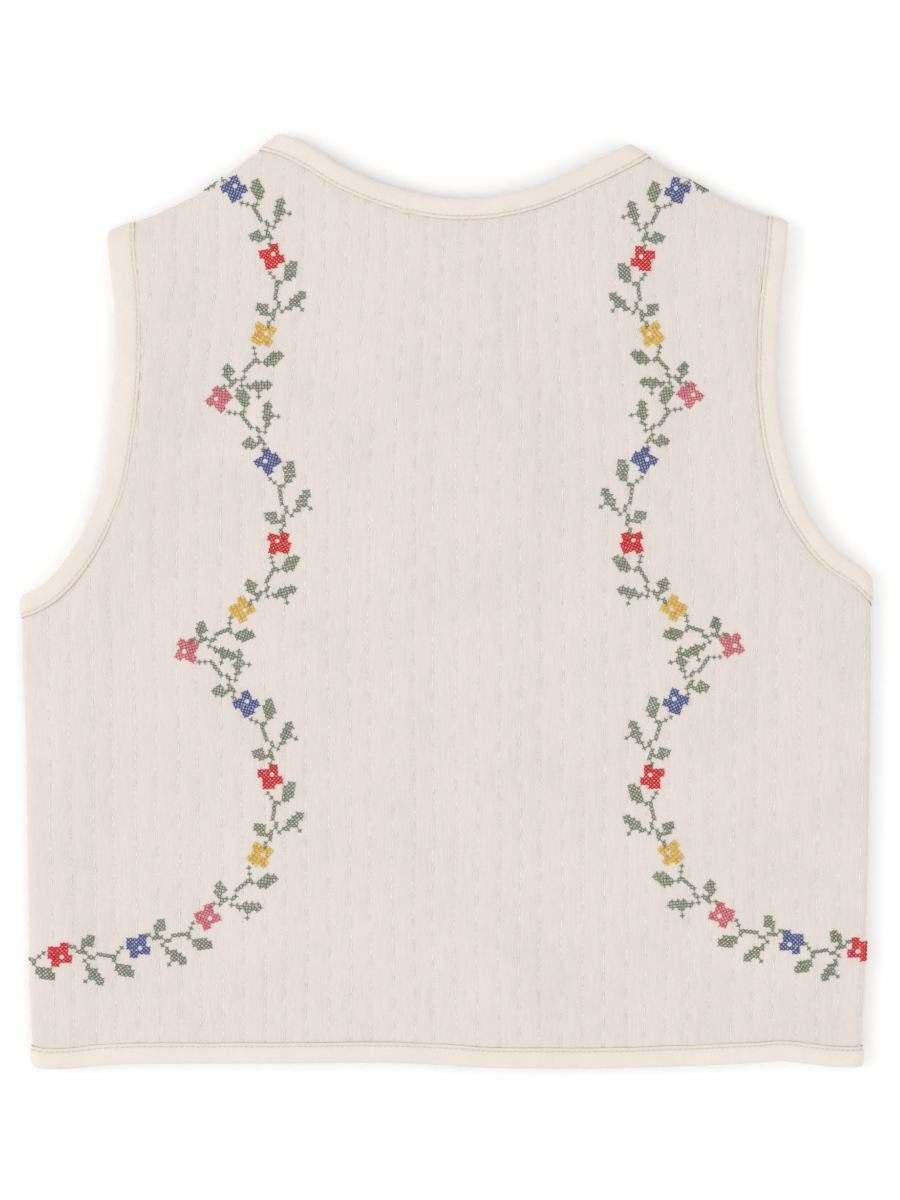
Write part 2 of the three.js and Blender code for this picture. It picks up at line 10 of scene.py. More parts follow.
import bpy
import numpy as np
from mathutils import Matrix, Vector


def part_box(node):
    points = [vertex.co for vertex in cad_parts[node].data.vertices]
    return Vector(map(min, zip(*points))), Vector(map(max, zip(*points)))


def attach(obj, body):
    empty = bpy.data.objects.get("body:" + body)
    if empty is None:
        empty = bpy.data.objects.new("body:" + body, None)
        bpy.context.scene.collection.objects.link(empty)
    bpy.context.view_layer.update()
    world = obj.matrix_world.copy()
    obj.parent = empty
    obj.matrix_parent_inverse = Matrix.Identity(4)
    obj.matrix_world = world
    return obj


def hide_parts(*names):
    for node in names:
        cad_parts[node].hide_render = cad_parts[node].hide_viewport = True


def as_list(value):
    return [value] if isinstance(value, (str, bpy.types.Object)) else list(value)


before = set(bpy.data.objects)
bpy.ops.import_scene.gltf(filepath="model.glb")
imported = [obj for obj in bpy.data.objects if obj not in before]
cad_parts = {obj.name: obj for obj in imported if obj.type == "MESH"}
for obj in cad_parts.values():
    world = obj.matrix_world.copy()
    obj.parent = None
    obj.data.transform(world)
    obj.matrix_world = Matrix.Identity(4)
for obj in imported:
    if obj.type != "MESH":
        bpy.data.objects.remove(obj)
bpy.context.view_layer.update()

MM = 0.001
BACK, FRONT = 1, -1

# ---- The garment's dimensions ----
CLOTH = 1.6  # thickness of the quilted cloth
STRIP = 1.0  # thickness of the doubled binding strip
GAP = 0.3
LAYER_GAP = 0.6
CENTRE_X = 4.8  # the fronts' meeting line
FRONT_GAP = 1.0
FRONT_NECK_Y = 131.0
FRONT_ARMHOLE_SCOOP = 7.0
FRONT_HEM_RISE = 1.2
# The strips' finished widths at either end; an armhole's are at the underarm and at the shoulder.
NECK_WIDTHS, HEM_WIDTHS, FRONT_EDGE_WIDTHS = (9.3, 9.3), (9.1, 9.1), (9.1, 9.1)
ARMHOLE_LEFT_WIDTHS, ARMHOLE_RIGHT_WIDTHS = (9.0, 12.0), (8.8, 8.8)

BOUND = CLOTH / 2 + GAP + STRIP  # half the thickness of a bound edge
FOLD_R = BOUND + LAYER_GAP / 2
FOLD_Z = BOUND + FOLD_R
FOLD_ARC = math.pi / 2 * FOLD_R
SEAM_OUT = FOLD_ARC - FOLD_R - CLOTH / 2
FRONT_DROP = BOUND - CLOTH / 2
BACK_DROP = 3.5
BACK_HELD_UP = 0.55
LEVEL_BAND = 13.0
DROP_BAND = 32.0
FOLD_REACH = 1.15 * FOLD_ARC
SKEW_BAND = 12.0
SAMPLES = 120

# Where the cloth folds round from back to front.
SIDE_LEFT = [(-180.2, -212), (-182.4, -190), (-183.5, -158), (-184.9, -66), (-186.4, -26), (-186, 14)]
SIDE_RIGHT = [(182.4, -212), (183.4, -185), (184.8, -158), (186.6, -72), (187.2, -20), (186.2, 24)]
SHOULDER_LEFT = [
    (-158, 157.6), (-142, 163.8), (-125.8, 170.8), (-108.2, 179.3), (-92, 190.6), (-80, 199.2),
    (-68, 207.8), (-50, 220.7),
]
SHOULDER_RIGHT = [
    (60, 212.4), (72, 205.2), (85, 197.4), (93, 192.6), (105.6, 185.8), (118, 179), (133.8, 171.8),
    (158, 162.8),
]

# Finished edges, between the folds.
NECK_BACK = [
    (-65.8, 202.4), (-55.4, 196.9), (-44.4, 190.1), (-27.7, 183), (-10, 178.2), (6.2, 176.3),
    (23.8, 177.8), (41.4, 182.2), (59, 190), (72.6, 196.4),
]
ARMHOLE_LEFT = [
    (-178.6, 5.9), (-170.7, 13.2), (-161.5, 26.4), (-155.3, 39.6), (-150.9, 52.8), (-147.4, 75),
    (-145.8, 95), (-145.2, 115), (-146.1, 132), (-148.3, 152),
]
ARMHOLE_RIGHT = [
    (181.5, 15.2), (173.6, 20.2), (166, 28), (158.4, 39.6), (152.7, 52.8), (147.6, 74),
    (145.6, 95), (145.8, 115), (147, 132), (149.3, 151),
]
HEM = [
    (-176, -206.2), (-165, -205.9), (-152, -204.6), (-135, -203.8), (-100, -203.7), (-64, -203.6),
    (-33, -203.3), (-3, -204.2), (20, -205.6), (46, -205.9), (75, -205.7), (112, -204.6), (138, -203.3),
    (148, -202.6), (165, -204.6), (177, -205.4),
]
NECK_FRONT_LEFT = [(-71.5, 190), (-65, 170), (-50, 149.5), (-29, 135.5)]
NECK_FRONT_RIGHT = [(80.5, 188), (74.5, 169), (60, 149), (38.6, 135.3)]
HEM_CORNER_Y = -205.2
UNDERARM_LEFT_Y = 1.6
UNDERARM_RIGHT_Y = 10.0
ARM_TIP_LEFT_X, ARM_TIP_RIGHT_X = -148.6, 150.4
NECK_TIP_LEFT_X, NECK_TIP_RIGHT_X = -73.2, 80.8

# ---- The quilting ----
CHANNEL = 9.48  # between quilting lines in the body
FIRST_LINE_X = -176.0
LINES = 39
QUILT_STITCH = 3.1
QUILT_RADIUS = 0.17
QUILT_FROM_Y, QUILT_TO_Y = -208, 210
PUFF = 0.36  # how far the wadding stands up between the lines
FAN_AXIS_X = 26.0

# Soft creases left by folding: ends, half width and height of each (a trough is negative).
BACK_CREASES = [
    (-80, -5, -46, -12, 3.0, -0.5), (-78, -11, -50, -17, 3.5, 0.45), (168, -24, 186, -29, 2.6, -0.6),
    (170, -62, 187, -64, 2.8, -0.55), (-22, 50, 16, 56, 4.0, -0.45), (-20, 42, 20, 48, 5.0, 0.4),
    (30, 120, 48, 20, 9.0, 0.35), (-30, -60, -12, -190, 10.0, 0.4), (84, -30, 70, -170, 9.0, -0.35),
    (-140, 60, -128, -30, 8.0, 0.35), (-160, -90, -120, -104, 5.0, -0.4), (118, 84, 138, 96, 4.5, -0.4),
    (-128, 126, -104, 134, 5.0, -0.35), (40, -96, 74, -90, 4.0, -0.35), (-20, 150, 30, 146, 7.0, -0.35),
    (150, -130, 176, -120, 4.5, 0.35), (-60, 176, -48, 150, 6.0, 0.3),
]
FRONT_CREASES = [
    (-120, -60, -70, -76, 5.0, -0.5), (-150, -150, -100, -146, 6.0, -0.45),
    (-90, 120, -60, 96, 6.0, -0.45), (-40, 60, -30, -60, 7.0, -0.4), (60, -70, 120, -84, 5.0, -0.5),
    (130, -20, 160, -28, 5.0, -0.45), (40, 40, 58, -90, 8.0, -0.4), (70, 130, 104, 140, 5.0, -0.45),
]

# ---- The embroidery ----
CROSS = 1.77  # size of a cross stitch

FLOWER = [
    "...XX.",
    "XXXXX.",
    "XXX.X.",
    ".XXXXX",
    ".XXXXX",
    ".XXX..",
]

# The vine between two flowers, in crosses. The first row is next to the flower that follows, and the
# last to the flower before; each row runs from the vine's outer side to the garment's middle.
VINE = [
    "....X........",
    "....X........",
    ".....X.......",
    "..XXXX.......",
    ".XXX.X.X.....",
    ".XXX..X.XX..X",
    "......X..XXX.",
    ".....X...XXX.",
    ".....X....XXX",
    ".....X.....XX",
    ".....X.......",
    ".....XX......",
    "....X..XX....",
    "...X...XXX...",
    ".......XXX...",
    ".......XXX...",
    "........XX...",
]
VINE_FIRST_V = 17  # crosses from the flower before to the first row
VINE_OUTER_U = -3
VINE_SPAN = 19  # crosses from one flower's centre to the next
CROWDED_AFTER = 8  # the vine that leaves this flower, in a narrow cusp, has no leaf near the flower
LEAF_U, LEAF_V = 3, 7  # that leaf's crosses lie beyond the one and before the other
# Beside the outer pink flowers and along the hem the vine swings outward, by so many degrees, at the
# stem's first joint after the flower of this number.
SWINGS = {3: 10, 7: 13, 8: 11, 11: 11, 12: 15, 13: 15}
JOINT = (2, 6)  # that joint, in crosses inward and along from the flower

# Flowers down each vine, in these colours over and over: centre, and the way the hole lies from it, in
# degrees.
FLOWER_COLOURS = ("blue", "red", "yellow", "pink")
LEFT_FLOWERS = [
    (-93.1, 180.6, 69), (-76.6, 151.1, 55), (-80.5, 117.0, 10), (-100.0, 88.4, 175),
    (-78.5, 60.9, 167), (-73.7, 24.9, 120), (-89.9, -4.1, -18), (-114.1, -22.4, 195),
    (-88.0, -45.8, 72), (-77.5, -77.9, 49), (-81.9, -112.3, 5), (-105.1, -139.6, -25),
    (-135.6, -152.5, -47), (-169.7, -155.9, -46),
]
RIGHT_FLOWERS = [
    (101.6, 179.8, 120), (86.6, 150.2, 133), (90.6, 117.1, 172), (107.6, 90.2, 10),
    (87.3, 61.6, 15), (82.0, 25.2, 65), (100.3, -3.5, 199), (125.9, -19.9, -11),
    (101.2, -44.7, 117), (90.8, -77.9, 136), (99.0, -111.5, 176), (121.5, -138.6, 208),
    (152.1, -150.6, 228), (181.7, -153.5, 225),
]
# Where the vines come over the shoulders from the front, and where the left one goes on round the side.
LEFT_BEFORE, LEFT_AFTER = (-125.5, 190.5), (-203.5, -152.0)
RIGHT_BEFORE = (134.0, 189.0)
FLOSS_RADIUS = {"green": 0.235, "red": 0.34, "blue": 0.29, "yellow": 0.3, "pink": 0.265}
WRAP_LIMIT = 8.0  # how far past a seam the embroidery is worked

# ---- Colours ----
def linear(red, green, blue):
    """A linear colour from sRGB bytes."""
    shares = (c / 255 for c in (red, green, blue))
    return tuple(c / 12.92 if c <= 0.04045 else ((c + 0.055) / 1.055) ** 2.4 for c in shares) + (1.0,)


COLOURS = {
    "cloth": linear(225, 217, 210),
    "binding": linear(229, 220, 212),
    "white": linear(251, 247, 241),
    "green": linear(128, 142, 112),
    "red": linear(232, 20, 34),
    "blue": linear(74, 94, 166),
    "yellow": linear(255, 202, 66),
    "pink": linear(232, 94, 122),
}


# ---- Curves ----
def smoothstep(value, low, high):
    share = np.clip((value - low) / (high - low), 0, 1)
    return share * share * (3 - 2 * share)


def distances(points):
    """Distance of each point along a line of points."""
    return np.concatenate([[0], np.cumsum(np.linalg.norm(np.diff(points, axis=0), axis=1))])


def at_distance(points, s):
    run = distances(points)
    return np.stack([np.interp(s, run, points[:, 0]), np.interp(s, run, points[:, 1])], axis=-1)


def smooth(points, count=SAMPLES):
    """Evenly spaced points on a Catmull-Rom curve."""
    given = np.array(points, float)
    knots = np.vstack([given[:1], given, given[-1:]])
    t = np.linspace(0, 1, 24, endpoint=False)[:, None]
    pieces = []
    for a, b, c, d in zip(knots, knots[1:], knots[2:], knots[3:]):
        v0, v1 = (c - a) / 2, (d - b) / 2
        pieces.append((2 * b - 2 * c + v0 + v1) * t**3 + (3 * c - 3 * b - 2 * v0 - v1) * t**2 + v0 * t + b)
    dense = np.vstack(pieces + [given[-1:]])
    return at_distance(dense, np.linspace(0, distances(dense)[-1], count + 1))


def reading(points, given, wanted):
    """One coordinate of a curve as a function of the other one."""
    order = np.argsort(points[:, given], kind="stable")
    return lambda value: np.interp(value, points[order, given], points[order, wanted])


fold_left = reading(smooth(SIDE_LEFT), 1, 0)
fold_right = reading(smooth(SIDE_RIGHT), 1, 0)
fold_top_left = reading(smooth(SHOULDER_LEFT), 0, 1)
fold_top_right = reading(smooth(SHOULDER_RIGHT), 0, 1)


def fold_top(x):
    return np.where(x < CENTRE_X, fold_top_left(x), fold_top_right(x))


def along_shoulder(x):
    reach = 2.0
    step = np.stack([np.full_like(x, 2 * reach), fold_top(x + reach) - fold_top(x - reach)], axis=-1)
    return step / np.linalg.norm(step, axis=-1, keepdims=True)


def along_side(fold, y):
    reach = 2.0
    step = np.array([fold(y + reach) - fold(y - reach), 2 * reach])
    return step / np.linalg.norm(step)


def seam_left(y):
    return fold_left(y) - SEAM_OUT


def seam_right(y):
    return fold_right(y) + SEAM_OUT


def in_from_seams(x, y):
    return np.minimum(np.minimum(x - seam_left(y), seam_right(y) - x), seam_top(x) - y)


def seam_top(x):
    return fold_top(x) + SEAM_OUT / along_shoulder(np.asarray(x, float))[..., 0]


def on_top_seam(x):
    return (x, float(seam_top(np.float64(x))))


FRONT_EDGE_LEFT_X = CENTRE_X - FRONT_GAP / 2
FRONT_EDGE_RIGHT_X = CENTRE_X + FRONT_GAP / 2
BUTT = FRONT_EDGE_WIDTHS[0] + GAP

HEM_BACK = smooth([
    (seam_left(HEM_CORNER_Y), HEM_CORNER_Y), *HEM, (seam_right(HEM_CORNER_Y), HEM_CORNER_Y),
])
NECK_BACK_EDGE = smooth([on_top_seam(NECK_TIP_LEFT_X), *NECK_BACK, on_top_seam(NECK_TIP_RIGHT_X)])
ARM_LEFT_BACK = smooth([
    (seam_left(UNDERARM_LEFT_Y), UNDERARM_LEFT_Y), *ARMHOLE_LEFT, on_top_seam(ARM_TIP_LEFT_X),
])
ARM_RIGHT_BACK = smooth([
    (seam_right(UNDERARM_RIGHT_Y), UNDERARM_RIGHT_Y), *ARMHOLE_RIGHT, on_top_seam(ARM_TIP_RIGHT_X),
])
NECK_FRONT_LEFT_EDGE = smooth([
    on_top_seam(NECK_TIP_LEFT_X), *NECK_FRONT_LEFT, (FRONT_EDGE_LEFT_X - BUTT, FRONT_NECK_Y),
])
NECK_FRONT_RIGHT_EDGE = smooth([
    on_top_seam(NECK_TIP_RIGHT_X), *NECK_FRONT_RIGHT, (FRONT_EDGE_RIGHT_X + BUTT, FRONT_NECK_Y),
])


def scooped(edge, towards_middle):
    depth = FRONT_ARMHOLE_SCOOP * np.sin(np.pi * np.arange(len(edge)) / SAMPLES) ** 2
    return edge + np.stack([towards_middle * depth, np.zeros(len(edge))], axis=-1)


ARM_LEFT_FRONT = scooped(ARM_LEFT_BACK, 1)
ARM_RIGHT_FRONT = scooped(ARM_RIGHT_BACK, -1)
hem_back_y = reading(HEM_BACK, 0, 1)


def hem_front_y(x):
    from_side = np.minimum(x - HEM_BACK[0, 0], HEM_BACK[-1, 0] - x)
    return hem_back_y(x) + FRONT_HEM_RISE * smoothstep(from_side, 10, 45)


def hem_front(from_x, to_x):
    x = np.linspace(from_x, to_x, SAMPLES + 1)
    return np.stack([x, hem_front_y(x)], axis=-1)


HEM_FRONT_LEFT = hem_front(HEM_BACK[0, 0], FRONT_EDGE_LEFT_X - BUTT)
HEM_FRONT_RIGHT = hem_front(FRONT_EDGE_RIGHT_X + BUTT, HEM_BACK[-1, 0])
FRONT_EDGE_LEFT = np.array([(FRONT_EDGE_LEFT_X, y) for y in (HEM_FRONT_LEFT[-1, 1], FRONT_NECK_Y)])
FRONT_EDGE_RIGHT = np.array([(FRONT_EDGE_RIGHT_X, y) for y in (HEM_FRONT_RIGHT[0, 1], FRONT_NECK_Y)])

# The pattern's origin in the frame, from the fronts' inner edges and the top of the opening.
edge_left, edge_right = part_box("front_edge_binding_left"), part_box("front_edge_binding_right")
OFFSET = np.array([
    (edge_left[1].x + edge_right[0].x) / 2 / MM - CENTRE_X,
    edge_left[1].y / MM - FRONT_NECK_Y,
    0.0,
])


# ---- Laying the cloth ----
GRID = 4.0
GRID_X = np.arange(-204, 205, GRID)
GRID_Y = np.arange(-220, 229, GRID)


def settled(edges):
    """0 near the given edges, where the cloth is held level, and 1 well away from all of them."""
    x, y = np.meshgrid(GRID_X, GRID_Y)
    share = np.ones_like(x)
    for edge in edges:
        away = np.hypot(edge[:, 0, None, None] - x, edge[:, 1, None, None] - y).min(axis=0)
        share *= smoothstep(away, LEVEL_BAND, LEVEL_BAND + DROP_BAND)

    def at(px, py):
        i = np.clip((px - GRID_X[0]) / GRID, 0, len(GRID_X) - 1.001)
        j = np.clip((py - GRID_Y[0]) / GRID, 0, len(GRID_Y) - 1.001)
        i0, j0 = i.astype(int), j.astype(int)
        u, v = i - i0, j - j0
        low = share[j0, i0] * (1 - u) + share[j0, i0 + 1] * u
        high = share[j0 + 1, i0] * (1 - u) + share[j0 + 1, i0 + 1] * u
        return low * (1 - v) + high * v

    return at


FOLDS = [smooth(line) for line in (SIDE_LEFT, SIDE_RIGHT, SHOULDER_LEFT, SHOULDER_RIGHT)]
OPENING_EDGES = [
    smooth(FRONT_EDGE_LEFT), smooth(FRONT_EDGE_RIGHT), NECK_FRONT_LEFT_EDGE, NECK_FRONT_RIGHT_EDGE,
]
settled_back = settled([*FOLDS, ARM_LEFT_BACK, ARM_RIGHT_BACK, NECK_BACK_EDGE, HEM_BACK])
settled_opening = settled(OPENING_EDGES)
settled_front = settled([
    *FOLDS, ARM_LEFT_FRONT, ARM_RIGHT_FRONT, HEM_FRONT_LEFT, HEM_FRONT_RIGHT, *OPENING_EDGES,
])


def drop(layer, x, y):
    if layer == FRONT:
        return FRONT_DROP * settled_front(x, y)
    held_up = BACK_HELD_UP * (1 - settled_opening(x, y))
    return BACK_DROP * settled_back(x, y) * (1 - held_up)


def turn(from_seam):
    """A fold: how far a point moves towards the garment's middle, and its height from the fold's axis.
    A point beyond the seam goes on round the fold, onto the other layer."""
    angle = np.clip(from_seam / FOLD_R, -math.pi / 2, math.pi / 2)
    inward = np.where(
        from_seam >= FOLD_ARC,
        0,
        np.where(from_seam <= -FOLD_ARC, -2 * from_seam, FOLD_ARC - from_seam - FOLD_R * np.cos(angle)),
    )
    return inward, FOLD_R * np.sin(angle)


def lay(layer, x, y):
    """Where a layer's middle surface lies for pattern points."""
    along = along_shoulder(x)
    left_in, left_rise = turn(x - seam_left(y))
    right_in, right_rise = turn(seam_right(y) - x)
    top_in, top_rise = turn((seam_top(x) - y) * along[..., 0])
    rise = np.minimum(np.minimum(left_rise, right_rise), top_rise)
    return np.stack([
        x + left_in - right_in + top_in * along[..., 1],
        y - top_in * along[..., 0],
        FOLD_Z + layer * rise - drop(layer, x, y),
    ], axis=-1)


def unit(vectors):
    return vectors / np.linalg.norm(vectors, axis=-1, keepdims=True)


def outward(layer, x, y):
    """Unit vector out of the garment, square to the cloth."""
    step = 0.2
    along_x = lay(layer, x + step, y) - lay(layer, x - step, y)
    along_y = lay(layer, x, y + step) - lay(layer, x, y - step)
    return unit(np.cross(along_x, along_y)) * layer


def raised(layer, x, y, height):
    """Pattern points moved out of the cloth's middle surface by a height, in metres in the frame."""
    out = lay(layer, x, y) + outward(layer, x, y) * np.asarray(height)[..., None]
    return (out + OFFSET) * MM


# ---- Where a pattern point is in from the finished edges ----
def depth_along_y(edge, sign):
    """Depth in from an edge that runs across; sign is +1 where the cloth lies above it."""
    y_of = reading(edge, 0, 1)

    def depth(x, y):
        slope = y_of(x + 0.5) - y_of(x - 0.5)
        beyond = np.maximum(edge[:, 0].min() - x, x - edge[:, 0].max())
        inside = sign * (y - y_of(x)) / np.hypot(1, slope)
        return np.where(beyond > 0, np.maximum(beyond, inside), inside)

    return depth


def depth_along_x(edge, sign):
    """Depth in from an edge that runs upwards; sign is +1 where the cloth lies to its right."""
    x_of = reading(edge, 1, 0)
    low_y = edge[:, 1].min()

    def depth(x, y):
        slope = x_of(y + 0.5) - x_of(y - 0.5)
        inside = sign * (x - x_of(y)) / np.hypot(1, slope)
        return np.where(y < low_y, np.maximum(low_y - y, inside), inside)

    return depth


def least(*depths):
    return lambda x, y: np.minimum.reduce([depth(x, y) for depth in depths])


depth_back = least(
    depth_along_y(HEM_BACK, 1),
    depth_along_y(NECK_BACK_EDGE, -1),
    depth_along_x(ARM_LEFT_BACK, 1),
    depth_along_x(ARM_RIGHT_BACK, -1),
)
FAR = 999.0
depth_front_hem = depth_along_y(np.stack([GRID_X, hem_front_y(GRID_X)], axis=-1), 1)


def depth_front(sign, neck, armhole, edge_x, neck_flat_x):
    """Depth in from a front's edges. sign is +1 for the left front, and the top of the opening is level
    from neck_flat_x to the front's inner edge at edge_x."""
    def from_opening(x, y):
        past_neck = np.where(sign * (neck_flat_x - x) > 0, FAR, 0)
        return np.minimum(sign * (edge_x - x), FRONT_NECK_Y - y + past_neck)

    return least(depth_front_hem, depth_along_y(neck, -1), depth_along_x(armhole, sign), from_opening)


depth_front_left = depth_front(1, NECK_FRONT_LEFT_EDGE, ARM_LEFT_FRONT, FRONT_EDGE_LEFT_X, -30)
depth_front_right = depth_front(-1, NECK_FRONT_RIGHT_EDGE, ARM_RIGHT_FRONT, FRONT_EDGE_RIGHT_X, 38)


# ---- The quilted surface ----
def waves(x, y, length_x, length_y, seed, count=7):
    """Smooth random undulation, mostly within -1 to 1, about length_x by length_y from crest to crest."""
    rng = np.random.default_rng(seed)
    total = np.zeros(np.broadcast(x, y).shape)
    for _ in range(count):
        angle, phase = rng.uniform(0, 2 * math.pi, 2)
        scale = rng.uniform(0.7, 1.5)
        across = math.cos(angle) / length_x
        up = math.sin(angle) / length_y
        total += np.sin(2 * math.pi * scale * (x * across + y * up) + phase)
    return total / math.sqrt(count)


line_rng = np.random.default_rng(4)
LINE_X = FIRST_LINE_X + CHANNEL * np.arange(LINES) + line_rng.uniform(-0.7, 0.7, LINES)


def line_place(x0, y):
    """Where the cloth that lies at x0 on the line y = 0 is at height y, as the lines fan and wander."""
    fan = 10 * smoothstep(y, 35, 175) * np.tanh((x0 - FAN_AXIS_X) / 60)
    taper = 3 * (x0 / 180) * np.clip(-y / 176, 0, 1.2)
    return x0 - fan - taper + 0.35 * waves(x0, y, 130, 70, 11)


def line_origin(x, y):
    """The inverse of line_place, for x."""
    x0 = x
    for _ in range(14):
        x0 = x0 + x - line_place(x0, y)
    return x0


def quilt_number(x, y):
    """A number that is whole on the quilting lines and counts them from the left."""
    x0 = line_origin(x, y)
    inside = np.interp(x0, LINE_X, np.arange(LINES))
    return inside + np.minimum(x0 - LINE_X[0], 0) / CHANNEL + np.maximum(x0 - LINE_X[-1], 0) / CHANNEL


def creased(x, y, creases):
    total = np.zeros_like(x)
    for x0, y0, x1, y1, half_width, height in creases:
        length = math.hypot(x1 - x0, y1 - y0)
        ux, uy = (x1 - x0) / length, (y1 - y0) / length
        along = (x - x0) * ux + (y - y0) * uy
        across = (y - y0) * ux - (x - x0) * uy + 0.08 * half_width * np.sin(along / half_width)
        fade = smoothstep(along, -0.15 * length, 0.3 * length)
        fade *= smoothstep(-along, -1.15 * length, -0.7 * length)
        total += height * fade * np.exp(-((across / half_width) ** 2))
    return total


def relief(layer, x, y, depth):
    """How far the cloth's outer face stands above its plain thickness."""
    q = quilt_number(x, y)
    hump = np.abs(np.sin(math.pi * q)) ** 0.75
    fullness = 1 + 0.28 * waves(x, y, 26, 40, 21) + 0.18 * waves(x, y, 9, 12, 22)
    pull = 0.16 * np.sin(2 * math.pi * y / QUILT_STITCH + 2 * np.floor(q))
    pull *= np.exp(-((hump / 0.45) ** 2))
    crinkle = 0.10 * waves(x, y, 22, 7, 23, 12) * hump
    crinkle += 0.05 * waves(x, y, 7, 3.5, 24, 12)
    body = PUFF * (hump * fullness - 0.45) + pull + crinkle
    under = smoothstep(depth, 6.5, 14)
    seam = in_from_seams(x, y)
    clear_of_seam = smoothstep(seam, 0.5, 7)
    seam_groove = 0.3 * (1 - smoothstep(seam, 0, 1.2))
    if layer == FRONT:
        total = (body - 0.75 * PUFF) * under + creased(x, y, FRONT_CREASES)
        return np.minimum(total * clear_of_seam, 0) - seam_groove
    near_edge = (0.4 + 0.12 * waves(x, y, 5, 5, 25, 9)) * smoothstep(depth, 8.2, 10.6)
    total = body * under + near_edge * (1 - smoothstep(depth, 11, 20)) + creased(x, y, BACK_CREASES)
    total += 0.35 * waves(x, y, 90, 120, 26) * under
    return total * clear_of_seam - seam_groove


def face_height(layer, x, y, depth_of):
    return CLOTH / 2 + relief(layer, x, y, depth_of(x, y))


# ---- Meshes ----
def make_object(name, vertices, faces, material, attributes):
    mesh = bpy.data.meshes.new(name)
    mesh.from_pydata(vertices.tolist(), [], faces)
    for label, values in attributes.items():
        layer = mesh.attributes.new(label, "FLOAT_VECTOR", "POINT")
        layer.data.foreach_set("vector", np.ascontiguousarray(values, np.float32).ravel())
    mesh.materials.append(material)
    mesh.shade_smooth()
    obj = bpy.data.objects.new(name, mesh)
    bpy.context.scene.collection.objects.link(obj)
    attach(obj, "root")
    return obj


SEAM_STEPS = np.array([0.0, 0.7, 1.4, 2.2, 3.0, 3.9, 5.0, 6.5, 8.2])
IN_CHANNEL = np.array([0.0, 0.1, 0.36, 0.64, 0.9])
TRIM_DEPTH = 1.4  # the cloth's cut edge lies this far inside the folded strip
FIRST_COLUMN_X, LAST_COLUMN_X = -176.5, 176.0  # between the columns that follow the side seams
FIRST_ROW_Y, BODY_TOP_Y = -206.5, 138
SHOULDER_GUESS_Y = 170.0


def top_of(x):
    """The shoulder seam's height, bridged over the neck, where the cloth stops short of it."""
    tips = [NECK_TIP_LEFT_X, NECK_TIP_RIGHT_X]
    over_neck = (x > tips[0]) & (x < tips[1])
    return np.where(over_neck, np.interp(x, tips, seam_top(np.array(tips))), seam_top(x))


def column(x_of, body, upper_rows):
    """Pattern points up a panel: even rows in the body, then rows stretched to the shoulder seam."""
    share = np.concatenate([np.linspace(0, 1, upper_rows + 1)[1:], np.ones(len(SEAM_STEPS) - 1)])
    below_seam = np.concatenate([np.full(upper_rows, SEAM_STEPS[-1]), SEAM_STEPS[-2::-1]])
    y = np.full(len(share), SHOULDER_GUESS_Y)
    for _ in range(4):
        y = body[-1] + (top_of(x_of(y)) - below_seam - body[-1]) * share
    y = np.concatenate([body, y])
    return np.stack([x_of(y), y], axis=-1)


def panel(name, layer, depth_of, x_from, x_to, row_step, upper_rows, channel_steps, material):
    """A quilted panel as a closed shell: its outer face, its lining, and the edge between them."""
    body = np.arange(FIRST_ROW_Y, BODY_TOP_Y, row_step)
    numbers = (np.arange(LINES - 1)[:, None] + channel_steps[None, :]).ravel()
    lines = np.interp(numbers, np.arange(LINES), LINE_X)
    lines = lines[(lines > FIRST_COLUMN_X) & (lines < LAST_COLUMN_X)]
    routes = [lambda y, d=d: seam_left(y) + d for d in SEAM_STEPS]
    routes += [lambda y, x0=x0: line_place(x0, y) for x0 in lines]
    routes += [lambda y, d=d: seam_right(y) - d for d in SEAM_STEPS[::-1]]
    lattice = np.stack([column(route, body, upper_rows) for route in routes], axis=1)
    lattice[..., 0] = np.clip(lattice[..., 0], x_from, x_to)
    rows, across = lattice.shape[:2]
    x, y = lattice[..., 0].ravel(), lattice[..., 1].ravel()

    depth = depth_of(x, y)
    keep = (depth >= TRIM_DEPTH).reshape(rows, across)
    whole = keep[:-1, :-1] & keep[1:, :-1] & keep[:-1, 1:] & keep[1:, 1:]
    wide = np.diff(lattice[..., 0], axis=1) > 1e-4
    j, i = np.nonzero(whole & wide[:-1] & wide[1:])
    first = j * across + i
    quads = np.stack([first, first + 1, first + across + 1, first + across], axis=-1)

    used, inverse = np.unique(quads, return_inverse=True)
    quads = inverse.reshape(quads.shape)
    x, y, depth = x[used], y[used], depth[used]
    count = len(used)

    edges = np.concatenate([quads[:, [k, (k + 1) % 4]] for k in range(4)])
    key = edges[:, 0] * count + edges[:, 1]
    facing = edges[:, 1] * count + edges[:, 0]
    rim = edges[~np.isin(key, facing)]

    outer = raised(layer, x, y, CLOTH / 2 + relief(layer, x, y, depth))
    inner = raised(layer, x, y, np.full(count, -CLOTH / 2) - 0.05 * waves(x, y, 12, 9, 31))
    walls = np.stack([rim[:, 1], rim[:, 0], rim[:, 0] + count, rim[:, 1] + count], axis=-1)
    faces = np.concatenate([quads, quads[:, ::-1] + count, walls])
    if layer == FRONT:
        faces = faces[:, ::-1]
    quilt = np.stack([quilt_number(x, y), y / QUILT_STITCH, np.ones(count)], axis=-1)
    quilt = np.concatenate([quilt, quilt * [1, 1, 0]])
    obj = make_object(name, np.concatenate([outer, inner]), faces.tolist(), material, {"quilt": quilt})

    corners = np.stack([x, y], axis=-1)[quads]
    a, b = corners[:, 2] - corners[:, 0], corners[:, 3] - corners[:, 1]
    area = 0.5 * np.abs(a[:, 0] * b[:, 1] - a[:, 1] * b[:, 0]).sum()
    flat = (np.ptp(x) * MM, np.ptp(y) * MM)
    return obj, flat, area * MM * MM


